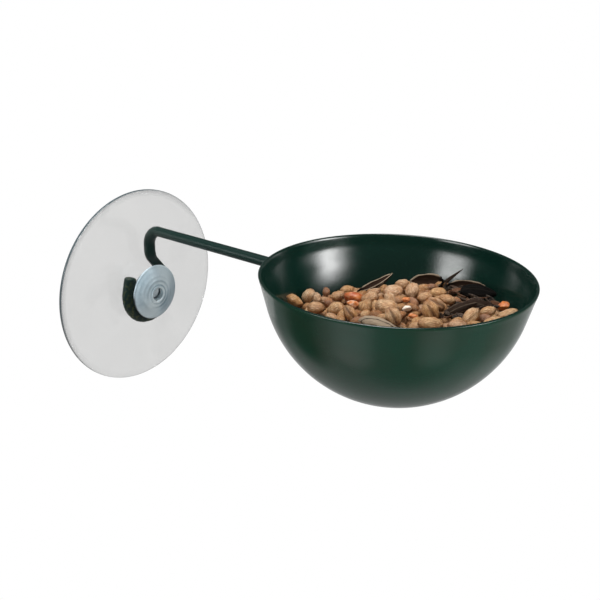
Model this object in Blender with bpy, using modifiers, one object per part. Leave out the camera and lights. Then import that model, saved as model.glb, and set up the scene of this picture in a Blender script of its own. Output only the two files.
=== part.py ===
"""Window bird feeder: a clear suction cup, a bent wire arm hooked round its neck, a pressed
steel bowl welded to the arm, and a heap of mixed seed in the bowl.

Metres, +Z up.  The origin is the middle of the cup's lip on the window pane, and +X points
away from the pane along the cup's neck.
"""
import math

import bmesh
import bpy
from mathutils import Euler, Matrix, Quaternion, Vector

MM = 0.001

# Air between pieces that touch
CONTACT_GAP = 0.3 * MM

# Suction cup
LIP_RADIUS = 40.8 * MM
LIP_THICKNESS = 1.0 * MM
SEAL_WIDTH = 3.0 * MM            # flat ring of the lip that lies on the pane
DISH_DEPTH = 2.2 * MM            # hollow behind the disc, at its middle
DISC_RISE = 5.0 * MM             # front of the disc at the neck, from the pane
DISC_CURVE = 1.5                 # power that the disc's front falls away by
NECK_RADIUS = 7.0 * MM
NECK_FILLET = 0.8 * MM           # at both ends of the neck
HEAD_RADIUS = 11.5 * MM
HEAD_EDGE = 1.2 * MM             # thickness of the head's rounded edge
HEAD_CROWN = 2.9 * MM            # height of the head's dome over its edge
NOSE_RADIUS = 4.4 * MM           # raised ring round the blind hole
NOSE_RISE = 0.4 * MM
HOLE_RADIUS = 2.4 * MM
HOLE_DEPTH = 4.5 * MM

# Wire arm
WIRE_DIAMETER = 4.0 * MM
LOOP_RADIUS = 11.1 * MM          # centre line of the loop that goes round the neck
LOOP_SEAT_ANGLE = math.radians(21)   # where the loop bears on the neck, from +Y towards +Z
LOOP_END_ANGLE = math.radians(160)   # where the loop straightens into its tail
TAIL_LENGTH = 5.3 * MM           # straight stretch up to the cut end of the wire
JOG_ANGLE = math.radians(36)     # where the loop runs off into the jog
JOG_RADIUS = 7.0 * MM
ARM_RISE = 26.2 * MM             # arm above the neck's axis
ARM_BEND_RADIUS = 6.5 * MM

# Bowl
BOWL_REACH = 126.5 * MM          # pane to the bowl's axis
RIM_OVER_ARM = 8.0 * MM
RIM_RADIUS = 45.0 * MM
RIM_FLARE = 1.2 * MM             # rim radius over the radius of the round part
BOWL_DEPTH = 41.2 * MM
BASE_RADIUS = 11.5 * MM          # flat the bowl stands on
SHEET = 0.7 * MM

# Weld between arm and bowl
WELD_LEG = 1.9 * MM              # how far the bead spreads over the bowl's wall
WELD_LENGTH = 2.6 * MM           # how far it runs back along the wire
WELD_EDGE = 0.3 * MM             # thickness where it runs out

# Seed heap
HEAP_DEPTH = 12.9 * MM           # middle of the bed's top below the rim
HEAP_CROWN = 3.5 * MM            # how far the bed's top falls from its middle to the wall
HEAP_TILT = math.radians(-4)     # the heap rises away from the pane
HEAP_LEAN = math.radians(3.5)    # and towards one side, +Y
SEED_SPACE = 0.6 * MM            # least room between neighbouring seeds, seen from above
WHEAT_SIZE = (7.0 * MM, 4.6 * MM, 4.3 * MM)
MAIZE_SIZE = (5.0 * MM, 4.4 * MM, 3.8 * MM)
SUNFLOWER_SIZE = (12.0 * MM, 5.2 * MM, 3.8 * MM)
HULL_SIZE = (11.5 * MM, 5.0 * MM, 4.6 * MM)
HULL_WALL = 0.45 * MM
SLIVER_SIZE = (9.4 * MM, 1.7 * MM, 0.9 * MM)

# Seed shapes, as shares of half a seed's size
WHEAT_TAPER = 0.12               # how much the brush end narrows
CREASE_DEPTH = 0.16
CREASE_POWER = 6                 # the higher, the narrower the crease
MAIZE_END_FLAT = 0.75
MAIZE_SIDE_FLAT = 0.70
MAIZE_TOP_FLAT = 0.65
MAIZE_FOOT_FLAT = 0.80
SUNFLOWER_TIP = 0.72             # width left at the pointed end
SUNFLOWER_SWELL = 0.42           # how fast it widens from there
SUNFLOWER_ROUND = 0.14           # how much of that the blunt end loses
SUNFLOWER_LENS = 0.15            # thinning towards the side edges
SLIVER_TAPER = 0.5
SLIVER_BEND = 0.6

# Pushing the seeds apart
SPREAD_ROUNDS = 200
SPREAD_TOLERANCE = 0.01 * MM

# Facets
TURN_STEPS = 48
BEAD_STEPS = 20
EDGE_STEPS = 6
DOME_STEPS = 6
DISC_STEPS = 5
WALL_STEPS = 8
CROWN_STEPS = 9
LOOP_STEPS = 22
BEND_STEPS = 7
FLARE_STEPS = 5
WIRE_BEVEL_STEPS = 4             # facets added to each quarter of the wire's girth
SEED_SIDES = 10
HULL_SIDES = 12
SEED_RINGS = 7
SLIVER_SIDES = 6
SHARP_ANGLE = math.radians(50)   # steeper edges of the wire stay sharp
MERGE_DISTANCE = 0.01 * MM
BEAD_ANGLES = (math.pi * 0.75, math.pi * 0.5, math.pi * 0.25)   # points of a rounded edge

# Colours: red, green, blue, roughness, metallic, alpha
FINISHES = {
    "clear_pvc": (0.80, 0.85, 0.88, 0.12, 0.0, 0.35),
    "green_coat": (0.020, 0.060, 0.038, 0.42, 0.0, 1.0),
    "green_enamel": (0.016, 0.052, 0.034, 0.16, 0.0, 1.0),
    "seed_bed": (0.42, 0.27, 0.13, 0.80, 0.0, 1.0),
    "wheat": (0.58, 0.36, 0.17, 0.60, 0.0, 1.0),
    "maize": (0.62, 0.20, 0.05, 0.50, 0.0, 1.0),
    "sunflower_shell": (0.09, 0.065, 0.05, 0.60, 0.0, 1.0),
}

# Loose seeds: kind, place from the bowl's axis as hundredths of the heap's radius,
# and heading, pitch and roll in degrees
WHEAT, MAIZE, SUNFLOWER = "wheat_grain", "maize_piece", "sunflower_seed"
HULL, SLIVER = "sunflower_hull", "husk_sliver"
SEEDS = [
    (HULL, -41, 34, 38, 27, 15),
    (HULL, -10, 70, 42, 5, 50),
    (HULL, 20, 85, 35, 8, 160),
    (HULL, 4, -32, 4, 2, 165),
    (HULL, 48, 26, 60, 12, 170),
    (HULL, 58, 51, 40, 4, 175),
    (SUNFLOWER, 40, 72, 45, 6, 0),
    (SLIVER, 8, 82, 75, 26, 60),
    (MAIZE, -45, 5, 20, 0, 0),
    (MAIZE, -29, -13, 70, 0, 20),
    (MAIZE, 22, -8, -30, 0, 0),
    (MAIZE, 11, 3, 15, 0, 0),
    (MAIZE, 3, 18, 100, 0, 40),
    (MAIZE, 70, 61, 0, 0, 0),
    (WHEAT, -97, -17, 100, 0, 0),
    (WHEAT, -87, -5, -52, 10, 0),
    (WHEAT, -60, -29, 10, 0, 80),
    (WHEAT, -67, 7, 40, 0, 0),
    (WHEAT, -41, -25, -30, 0, 200),
    (WHEAT, -24, -28, -35, 5, 0),
    (WHEAT, -30, 6, 25, 0, 150),
    (WHEAT, -8, -7, 20, 0, 180),
    (WHEAT, 15, -19, 60, 0, 0),
    (WHEAT, 29, 6, 45, 8, 20),
    (WHEAT, 29, 21, -20, 0, 180),
    (WHEAT, 44, -16, 15, 0, 90),
    (WHEAT, 62, -5, 80, 0, 0),
    (WHEAT, 65, 17, 60, 0, 180),
    (WHEAT, 83, 42, 120, 0, 0),
    (WHEAT, -26, 50, 20, 0, 0),
    (WHEAT, -5, 34, -50, 8, 180),
    (WHEAT, 16, 45, 0, 0, 0),
    (WHEAT, 11, 29, 10, 0, 180),
    (WHEAT, 30, 34, 10, 0, 0),
    (WHEAT, -78, -45, 120, 0, 0),
    (WHEAT, -31, -52, 40, 0, 0),
    (WHEAT, -5, -62, -15, 0, 180),
    (WHEAT, 23, -60, 30, 0, 0),
    (WHEAT, 47, -41, -40, 0, 180),
    (WHEAT, 70, -29, 60, 0, 0),
    (WHEAT, -57, -60, -45, 0, 180),
    (WHEAT, -26, -80, 20, 0, 0),
    (WHEAT, 8, -86, 170, 0, 0),
    (WHEAT, 39, -74, 150, 0, 180),
    (WHEAT, 67, -54, 120, 0, 0),
    (WHEAT, -73, -7, 90, 0, 30),
    (WHEAT, -74, 6, 15, 0, 180),
    (WHEAT, -58, 14, 60, 0, 0),
    (WHEAT, -30, 22, 100, 6, 180),
    (WHEAT, -20, -12, 75, 0, 0),
    (WHEAT, -20, 29, 35, 0, 160),
    (WHEAT, 72, 38, 50, 0, 0),
    (WHEAT, 77, 19, 20, 0, 180),
    (WHEAT, -10, 9, 130, 0, 90),
]

# Places that follow from the sizes above
WIRE_RADIUS = WIRE_DIAMETER / 2
HOOK_X = DISC_RISE + CONTACT_GAP + WIRE_RADIUS
HEAD_BACK = HOOK_X + WIRE_RADIUS + CONTACT_GAP
SEAT_RADIUS = NECK_RADIUS + CONTACT_GAP + WIRE_RADIUS
RIM_Z = ARM_RISE + RIM_OVER_ARM
ROUND_RADIUS = RIM_RADIUS - RIM_FLARE
ROUND_CENTRE = math.sqrt(ROUND_RADIUS ** 2 - BASE_RADIUS ** 2) - BOWL_DEPTH
RIM_DISTANCE = math.hypot(RIM_RADIUS, ROUND_CENTRE)
FLARE_ANGLE = -math.atan2(ROUND_CENTRE, RIM_RADIUS) - math.acos(ROUND_RADIUS / RIM_DISTANCE)
HEAP_EDGE = ROUND_CENTRE + HEAP_DEPTH + HEAP_CROWN
HEAP_RADIUS = math.sqrt((ROUND_RADIUS - SHEET) ** 2 - HEAP_EDGE ** 2) - CONTACT_GAP
CROWN_REACH = 1.5 * RIM_RADIUS   # the heap's cutter passes the bowl on every side


def clear_scene():
    """Remove what the scene holds, with its meshes, curves and materials."""
    for item in list(bpy.data.objects):
        bpy.data.objects.remove(item, do_unlink=True)
    for store in (bpy.data.meshes, bpy.data.curves, bpy.data.materials):
        for block in list(store):
            store.remove(block)


def new_collection(name):
    """Make an empty collection in the scene."""
    old = bpy.data.collections.get(name)
    if old:
        bpy.data.collections.remove(old)
    group = bpy.data.collections.new(name)
    bpy.context.scene.collection.children.link(group)
    return group


def finish(name):
    """Principled material for one of the finishes."""
    material = bpy.data.materials.get(name)
    if material:
        return material
    red, green, blue, roughness, metallic, alpha = FINISHES[name]
    material = bpy.data.materials.new(name)
    material.use_nodes = True
    shader = material.node_tree.nodes["Principled BSDF"]
    shader.inputs["Base Color"].default_value = (red, green, blue, 1.0)
    shader.inputs["Roughness"].default_value = roughness
    shader.inputs["Metallic"].default_value = metallic
    shader.inputs["Alpha"].default_value = alpha
    return material


def add_object(name, data, group, parent=None, location=(0, 0, 0), rotation=(0, 0, 0)):
    """Put a mesh or a curve into the scene under a parent."""
    item = bpy.data.objects.new(name, data)
    group.objects.link(item)
    item.parent = parent
    item.location = location
    item.rotation_euler = rotation
    return item


def make_cutter(item):
    """Mark an object as a cutter, which isn't a piece of the feeder."""
    item.hide_render = True
    item.display_type = "WIRE"
    return item


def cut(item, cutter):
    """Take a cutter's shape out of a piece."""
    modifier = item.modifiers.new("cut by " + cutter.name, "BOOLEAN")
    modifier.operation = "DIFFERENCE"
    modifier.object = cutter


def arc(centre, radius, start, end, steps):
    """Points along an arc, both ends included."""
    angles = [start + (end - start) * i / steps for i in range(steps + 1)]
    return [(centre[0] + radius * math.cos(a), centre[1] + radius * math.sin(a)) for a in angles]


def turned(name, profile, ring=False):
    """Mesh of a profile of (radius, height) points, outer side from top to bottom.

    A ring's profile closes on itself; any other starts and ends on the axis.
    """
    mesh = bpy.data.meshes.new(name)
    points = [(radius, 0.0, height) for radius, height in profile]
    edges = [(i, i + 1) for i in range(len(points) - 1)]
    if ring:
        edges.append((len(points) - 1, 0))
    mesh.from_pydata(points, edges, [])
    return mesh


def turn(item, steps=TURN_STEPS):
    """Turn an object's profile about its own Z axis."""
    screw = item.modifiers.new("turn", "SCREW")
    screw.axis = "Z"
    screw.angle = math.tau
    screw.steps = steps
    screw.render_steps = steps
    screw.use_merge_vertices = True
    screw.merge_threshold = MERGE_DISTANCE
    screw.use_smooth_shade = True
    return item


def cup_profile():
    """The cup from the bottom of its blind hole, over the head and the disc, to the dish."""
    edge = HEAD_EDGE / 2
    edge_height = HEAD_BACK + edge
    dome_foot = HEAD_RADIUS - edge
    dome_top = HEAD_BACK + HEAD_EDGE + HEAD_CROWN
    hole_floor = dome_top + NOSE_RISE - HOLE_DEPTH
    points = [(0.0, hole_floor), (HOLE_RADIUS, hole_floor), (HOLE_RADIUS, dome_top)]
    nose_width = (NOSE_RADIUS - HOLE_RADIUS) / 2
    nose_middle = HOLE_RADIUS + nose_width
    points += [(nose_middle + nose_width * math.cos(a), dome_top + NOSE_RISE * math.sin(a))
               for a in BEAD_ANGLES]
    for i in range(DOME_STEPS):
        share = i / DOME_STEPS
        radius = NOSE_RADIUS + (dome_foot - NOSE_RADIUS) * share
        points.append((radius, dome_top - HEAD_CROWN * share ** 2))
    points += arc((dome_foot, edge_height), edge, math.pi / 2, -math.pi / 2, EDGE_STEPS)
    foot = NECK_RADIUS + NECK_FILLET
    points.append((foot, HEAD_BACK))
    points.append((NECK_RADIUS, HEAD_BACK - NECK_FILLET))
    points.append((NECK_RADIUS, DISC_RISE + NECK_FILLET))
    points.append((foot, DISC_RISE))
    for i in range(1, DISC_STEPS):
        share = i / DISC_STEPS
        fall = (DISC_RISE - LIP_THICKNESS) * share ** DISC_CURVE
        points.append((foot + (LIP_RADIUS - foot) * share, DISC_RISE - fall))
    points.append((LIP_RADIUS, LIP_THICKNESS))
    points.append((LIP_RADIUS, 0.0))
    seal = LIP_RADIUS - SEAL_WIDTH
    for i in range(DISC_STEPS + 1):
        share = 1 - i / DISC_STEPS
        points.append((seal * share, DISH_DEPTH * (1 - share ** 2)))
    return points


def bowl_side(inset):
    """Bowl's wall from the rim down to the edge of the base, moved in from the outside."""
    flare_x, flare_z = math.cos(FLARE_ANGLE), math.sin(FLARE_ANGLE)
    radius = ROUND_RADIUS - inset
    floor = inset - BOWL_DEPTH
    base_angle = -math.acos(math.sqrt(radius ** 2 - (floor - ROUND_CENTRE) ** 2) / radius)
    points = [(RIM_RADIUS - inset * flare_x, -inset * flare_z)]
    points += arc((0.0, ROUND_CENTRE), radius, FLARE_ANGLE, base_angle, WALL_STEPS)
    return points


def bowl_profile():
    """The bowl's sheet: rounded rim edge, outside, base, and back up the inside."""
    outside = bowl_side(0.0)
    inside = bowl_side(SHEET)
    middle = [(a + b) / 2 for a, b in zip(outside[0], inside[0])]
    rim = [(middle[0] + SHEET / 2 * math.cos(FLARE_ANGLE + a),
            middle[1] + SHEET / 2 * math.sin(FLARE_ANGLE + a)) for a in BEAD_ANGLES]
    return [(0.0, SHEET - BOWL_DEPTH)] + inside[::-1] + rim + outside + [(0.0, -BOWL_DEPTH)]


def fill_profile():
    """What fits inside the bowl up to its rim."""
    side = bowl_side(SHEET + CONTACT_GAP)
    return [(0.0, side[0][1])] + side + [(0.0, side[-1][1])]


def envelope_profile():
    """The bowl's outside with the contact gap round it, up to the rim."""
    side = bowl_side(-CONTACT_GAP)
    return [(0.0, side[0][1])] + side + [(0.0, side[-1][1])]


def crown_drop(radius):
    """How far the bed's top has fallen at a distance from the heap's middle."""
    return HEAP_CROWN * (radius / HEAP_RADIUS) ** 2


def crown_profile():
    """Cutter over the heap: its underside is the bed's top."""
    radii = [CROWN_REACH * (1 - i / CROWN_STEPS) for i in range(CROWN_STEPS + 1)]
    underside = [(radius, -crown_drop(radius)) for radius in radii]
    return [(0.0, BOWL_DEPTH), (CROWN_REACH, BOWL_DEPTH)] + underside


def wire_route():
    """Centre line of the wire, from its cut end round the loop to inside the bowl's wall."""
    seat = LOOP_RADIUS - SEAT_RADIUS
    centre = (-seat * math.cos(LOOP_SEAT_ANGLE), -seat * math.sin(LOOP_SEAT_ANGLE))
    loop = arc(centre, LOOP_RADIUS, LOOP_END_ANGLE, math.tau + JOG_ANGLE, LOOP_STEPS)
    along = (-math.sin(JOG_ANGLE), math.cos(JOG_ANGLE))
    jog_side = JOG_RADIUS * (1 - math.cos(JOG_ANGLE))
    jog_run = (loop[-1][0] - jog_side) / -along[0]
    jog_height = loop[-1][1] + jog_run * along[1]
    jog_middle = (JOG_RADIUS, jog_height + JOG_RADIUS * math.sin(JOG_ANGLE))
    jog = arc(jog_middle, JOG_RADIUS, math.pi + JOG_ANGLE, math.pi, BEND_STEPS)
    tail = (loop[0][0] + TAIL_LENGTH * math.sin(LOOP_END_ANGLE),
            loop[0][1] - TAIL_LENGTH * math.cos(LOOP_END_ANGLE))
    route = [Vector((HOOK_X, y, z)) for y, z in [tail] + loop + jog]
    bend_middle = (HOOK_X + ARM_BEND_RADIUS, ARM_RISE - ARM_BEND_RADIUS)
    bend = arc(bend_middle, ARM_BEND_RADIUS, math.pi, math.pi / 2, BEND_STEPS)
    route += [Vector((x, 0.0, z)) for x, z in bend]
    route.append(Vector((BOWL_REACH - ROUND_RADIUS + SHEET, 0.0, ARM_RISE)))
    return route


def tube_mesh(name, route, radius):
    """Closed mesh of a round wire along a route."""
    curve = bpy.data.curves.new(name, "CURVE")
    curve.dimensions = "3D"
    curve.bevel_depth = radius
    curve.bevel_resolution = WIRE_BEVEL_STEPS
    curve.use_fill_caps = True
    spline = curve.splines.new("POLY")
    spline.points.add(len(route) - 1)
    for point, place in zip(spline.points, route):
        point.co = (*place, 1.0)
    holder = bpy.data.objects.new(name + " curve", curve)
    bpy.context.scene.collection.objects.link(holder)
    bpy.context.view_layer.update()
    mesh = bpy.data.meshes.new_from_object(holder.evaluated_get(bpy.context.evaluated_depsgraph_get()))
    bpy.data.objects.remove(holder)
    bpy.data.curves.remove(curve)
    shape = bmesh.new()
    shape.from_mesh(mesh)
    bmesh.ops.remove_doubles(shape, verts=shape.verts, dist=MERGE_DISTANCE)
    bmesh.ops.recalc_face_normals(shape, faces=shape.faces)
    shape.to_mesh(mesh)
    shape.free()
    mesh.shade_smooth()
    mesh.set_sharp_from_angle(angle=SHARP_ANGLE)
    return mesh


def weld_profile():
    """Fillet round the end of the wire, flaring towards the bowl's wall."""
    bore = WIRE_RADIUS + CONTACT_GAP
    thin_end = bore + WELD_EDGE
    shares = [i / FLARE_STEPS for i in range(FLARE_STEPS + 1)]
    flare = [(thin_end + WELD_LEG * (1 - math.sqrt(1 - share ** 2)), WELD_LENGTH * share)
             for share in shares]
    root = WELD_LENGTH + RIM_FLARE + WELD_LEG
    return [(thin_end + WELD_LEG, root)] + flare[::-1] + [(bore, 0.0), (bore, root)]


def seed_mesh(name, size, shape_point, sides=SEED_SIDES):
    """Mesh of one seed: a sphere along X, moved point by point."""
    shape = bmesh.new()
    bmesh.ops.create_uvsphere(shape, u_segments=sides, v_segments=SEED_RINGS, radius=1.0)
    turn_over = Matrix.Rotation(math.pi / 2, 3, "Y") @ Matrix.Rotation(math.pi / 2, 3, "Z")
    for vertex in shape.verts:
        x, y, z = shape_point(*(turn_over @ vertex.co))
        vertex.co = (x * size[0] / 2, y * size[1] / 2, z * size[2] / 2)
    mesh = bpy.data.meshes.new(name)
    shape.to_mesh(mesh)
    shape.free()
    mesh.shade_smooth()
    return mesh


def wheat_point(x, y, z):
    """Plump grain, narrower at its brush end, creased along its top."""
    taper = 1 - WHEAT_TAPER * x
    crease = CREASE_DEPTH * max(0.0, z) ** CREASE_POWER * (1 - x * x)
    return x, y * taper, z * taper - crease


def maize_point(x, y, z):
    """Cracked kernel: flat at one end, one side, top and foot."""
    return min(x, MAIZE_END_FLAT), max(y, -MAIZE_SIDE_FLAT), min(max(z, -MAIZE_FOOT_FLAT), MAIZE_TOP_FLAT)


def sunflower_point(x, y, z):
    """Seed that narrows to a point at +X, with lens-shaped sides."""
    taper = (1 - x) / 2
    width = SUNFLOWER_TIP + SUNFLOWER_SWELL * taper - SUNFLOWER_ROUND * taper * taper
    return x, y * width, z * width * (1 - SUNFLOWER_LENS * y * y)


def sliver_point(x, y, z):
    """Splinter of husk, pointed at both ends."""
    taper = 1 - SLIVER_TAPER * x * x
    return x, y * taper, z * taper + SLIVER_BEND * x * x


def open_hull(name):
    """Half of an emptied sunflower shell, open towards +Z."""
    mesh = seed_mesh(name, HULL_SIZE, sunflower_point, HULL_SIDES)
    shape = bmesh.new()
    shape.from_mesh(mesh)
    upper = [face for face in shape.faces if face.calc_center_median().z > 0]
    bmesh.ops.delete(shape, geom=upper, context="FACES")
    shape.to_mesh(mesh)
    shape.free()
    return mesh


def seed_kinds():
    """Size, mesh and finish of each kind of seed."""
    sunflower = seed_mesh(SUNFLOWER, SUNFLOWER_SIZE, sunflower_point)
    sliver = seed_mesh(SLIVER, SLIVER_SIZE, sliver_point, SLIVER_SIDES)
    return {
        WHEAT: (WHEAT_SIZE, seed_mesh(WHEAT, WHEAT_SIZE, wheat_point), "wheat"),
        MAIZE: (MAIZE_SIZE, seed_mesh(MAIZE, MAIZE_SIZE, maize_point), "maize"),
        SUNFLOWER: (SUNFLOWER_SIZE, sunflower, "sunflower_shell"),
        HULL: (HULL_SIZE, open_hull(HULL), "sunflower_shell"),
        SLIVER: (SLIVER_SIZE, sliver, "sunflower_shell"),
    }


def seed_discs(size, place, heading):
    """Three discs along a seed that stand for its outline seen from above."""
    reach = max(0.0, size[0] - size[1]) / 2
    along = Vector((math.cos(heading), math.sin(heading))) * reach
    return [place - along, place, place + along]


def spread_seeds(kinds):
    """Seed places in the heap, pushed apart until none touch each other or the wall."""
    places = [Vector((x, y)) * HEAP_RADIUS / 100 for _, x, y, *_ in SEEDS]
    sizes = [kinds[kind][0] for kind, *_ in SEEDS]
    headings = [math.radians(row[3]) for row in SEEDS]
    for _ in range(SPREAD_ROUNDS):
        moved = False
        for i in range(len(SEEDS)):
            room_to_wall = HEAP_RADIUS - sizes[i][1] / 2 - SEED_SPACE
            for disc in seed_discs(sizes[i], places[i], headings[i]):
                if disc.length > room_to_wall + SPREAD_TOLERANCE:
                    places[i] -= disc.normalized() * (disc.length - room_to_wall)
                    moved = True
            for j in range(i):
                least = (sizes[i][1] + sizes[j][1]) / 2 + SEED_SPACE
                pairs = [a - b for a in seed_discs(sizes[i], places[i], headings[i])
                         for b in seed_discs(sizes[j], places[j], headings[j])]
                near = min(pairs, key=lambda gap: gap.length)
                if near.length < least - SPREAD_TOLERANCE:
                    push = near.normalized() * (least - near.length) / 2
                    places[i] += push
                    places[j] -= push
                    moved = True
        if not moved:
            break
    return places


def seat_seed(mesh, place, heading, pitch, roll):
    """Location and turn of a seed that lies on the bed with the contact gap under it."""
    slope = 2 * HEAP_CROWN / HEAP_RADIUS ** 2
    normal = Vector((slope * place.x, slope * place.y, 1.0)).normalized()
    lie = Quaternion((0, 0, 1), heading) @ Euler((roll, -pitch, 0.0), "XYZ").to_quaternion()
    turned_by = Vector((0, 0, 1)).rotation_difference(normal) @ lie
    lowest = min((turned_by @ vertex.co).dot(normal) for vertex in mesh.vertices)
    foot = Vector((place.x, place.y, -crown_drop(place.length)))
    return foot + normal * (CONTACT_GAP - lowest), turned_by


def build_cup(parts):
    """Suction cup, turned about the neck's axis, which points along +X."""
    profile = turned("suction_cup", cup_profile())
    cup = turn(add_object("suction_cup", profile, parts, rotation=(0, math.pi / 2, 0)))
    cup.data.materials.append(finish("clear_pvc"))


def build_feeder(parts, cutters, swivel):
    """Bowl, wire arm and the weld between them."""
    rim = (BOWL_REACH, 0.0, RIM_Z)
    bowl = turn(add_object("bowl", turned("bowl", bowl_profile()), parts, swivel, rim))
    bowl.data.materials.append(finish("green_enamel"))
    envelope = add_object("bowl_envelope", turned("bowl_envelope", envelope_profile()), cutters, swivel, rim)
    make_cutter(turn(envelope))

    arm = add_object("hook_arm", tube_mesh("hook_arm", wire_route(), WIRE_RADIUS), parts, swivel)
    arm.data.materials.append(finish("green_coat"))
    cut(arm, envelope)

    wall = bowl_side(-CONTACT_GAP)
    share = (RIM_OVER_ARM - WIRE_RADIUS) / -wall[1][1]
    wall_radius = wall[0][0] + (wall[1][0] - wall[0][0]) * share
    start = (BOWL_REACH - wall_radius - WELD_LENGTH, 0.0, ARM_RISE)
    fillet = turned("weld_bead", weld_profile(), ring=True)
    weld = turn(add_object("weld_bead", fillet, parts, swivel, start, (0, math.pi / 2, 0)), BEAD_STEPS)
    weld.data.materials.append(finish("green_coat"))
    cut(weld, envelope)


def build_seeds(parts, cutters, lift):
    """Bed of settled seed and the loose seeds that lie on it."""
    heap = bpy.data.objects.new("heap_top", None)
    parts.objects.link(heap)
    heap.parent = lift
    heap.location = (0.0, 0.0, -HEAP_DEPTH)
    heap.rotation_euler = (HEAP_LEAN, HEAP_TILT, 0.0)

    bed = turn(add_object("seed_bed", turned("seed_bed", fill_profile()), parts, lift))
    bed.data.materials.append(finish("seed_bed"))
    crown = add_object("heap_crown", turned("heap_crown", crown_profile()), cutters, heap)
    make_cutter(turn(crown))
    cut(bed, crown)

    kinds = seed_kinds()
    places = spread_seeds(kinds)
    counts = {}
    for (kind, _, _, heading, pitch, roll), place in zip(SEEDS, places):
        _, mesh, colour = kinds[kind]
        counts[kind] = counts.get(kind, 0) + 1
        turns = [math.radians(angle) for angle in (heading, pitch, roll)]
        location, turned_by = seat_seed(mesh, place, *turns)
        seed = add_object(f"{kind}_{counts[kind]:02d}", mesh, parts, heap, location)
        seed.rotation_mode = "QUATERNION"
        seed.rotation_quaternion = turned_by
        if not mesh.materials:
            mesh.materials.append(finish(colour))
        if kind == HULL:
            wall = seed.modifiers.new("shell wall", "SOLIDIFY")
            wall.thickness = HULL_WALL
            wall.offset = -1.0


def main():
    clear_scene()
    parts = new_collection("window_bird_feeder")
    cutters = new_collection("cutters")

    swivel = bpy.data.objects.new("hook_swivel", None)
    parts.objects.link(swivel)
    lift = bpy.data.objects.new("seed_lift", None)
    parts.objects.link(lift)
    lift.parent = swivel
    lift.location = (BOWL_REACH, 0.0, RIM_Z)

    build_cup(parts)
    build_feeder(parts, cutters, swivel)
    build_seeds(parts, cutters, lift)


main()
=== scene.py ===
"""Looks of the window bird feeder: clear suction cup, coated wire arm, enamelled bowl and mixed seed.

Each operator makes one piece or one group of like pieces on the loaded frame, and one makes the
stage.  Metres, +Z up; the origin is the middle of the cup's lip on the pane, +X away from the pane.
"""
import math

import bmesh
import bpy
import numpy as np
from bpy.props import FloatProperty, FloatVectorProperty, IntProperty, PointerProperty
from mathutils import Matrix, Vector, noise


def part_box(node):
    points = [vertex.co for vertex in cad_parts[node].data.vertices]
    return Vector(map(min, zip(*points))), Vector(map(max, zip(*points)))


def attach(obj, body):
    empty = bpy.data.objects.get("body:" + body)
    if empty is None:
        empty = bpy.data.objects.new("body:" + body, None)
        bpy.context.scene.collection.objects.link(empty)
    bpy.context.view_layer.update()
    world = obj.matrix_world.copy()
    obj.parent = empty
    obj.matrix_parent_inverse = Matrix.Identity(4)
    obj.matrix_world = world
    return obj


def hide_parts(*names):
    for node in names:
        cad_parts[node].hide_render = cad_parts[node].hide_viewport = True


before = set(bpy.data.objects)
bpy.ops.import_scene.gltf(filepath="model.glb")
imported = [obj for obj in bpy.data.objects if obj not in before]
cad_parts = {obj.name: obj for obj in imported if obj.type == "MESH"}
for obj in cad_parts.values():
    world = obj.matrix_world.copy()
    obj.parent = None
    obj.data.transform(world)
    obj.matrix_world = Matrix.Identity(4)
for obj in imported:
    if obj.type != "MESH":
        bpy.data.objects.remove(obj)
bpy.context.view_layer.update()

bl_info = {
    "name": "Window Bird Feeder",
    "version": (1, 0, 0),
    "blender": (4, 5, 0),
    "location": "3D View > Sidebar > Feeder",
    "description": "Builds the pieces of a window bird feeder and its studio stage",
    "category": "Add Mesh",
}


def solids(start):
    """Names of the solids that begin with a word, in order."""
    return sorted(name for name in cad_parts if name.startswith(start))


MM = 0.001
CUP_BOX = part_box("suction_cup")
ARM_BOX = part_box("hook_arm")
BOWL_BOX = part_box("bowl")
BOWL_AXIS = ((BOWL_BOX[0] + BOWL_BOX[1]) / 2).x
WHEAT_NODES = solids("wheat_grain")
MAIZE_NODES = solids("maize_piece")
HULL_NODES = solids("sunflower_hull")
DARK_HUSKS = HULL_NODES[2:3] + HULL_NODES[4:] + ["sunflower_seed_01"]

# Facets round the turned and swept pieces
CUP_STEPS = 144
BOWL_STEPS = 176
WIRE_SIDES = 32
WELD_SIDES = 48
FLOOR_STEPS = 96

# Rounded ends of the wire: size of each ring and how far it is pushed out, against the wire's radius
ROUND_END = ((0.93, 0.14), (0.75, 0.30), (0.4, 0.40))
# Middle of the stretch of the lip whose painted shade is darkest, round the disc
LIP_PAINTED_SHADE = math.radians(125)
# Painted highlights and painted shade streaking the cup's head: angle round the nose in degrees, tint and
# strength
HEAD_PAINTED_SPOKES = ((240, "head_painted_glint", 0.75), (45, "head_painted_glint", 0.50),
               (322, "head_streak_and_painted_shade", 0.80), (120, "head_streak_and_painted_shade", 0.25))

# From the heap of seed to the viewer, and right and up as the viewer sees it
TO_VIEWER = np.array((0.4836, -0.796, 0.364))
VIEW_RIGHT = np.array((0.8546, 0.5192, 0.0))
VIEW_UP = np.cross(TO_VIEWER, VIEW_RIGHT)
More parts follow.
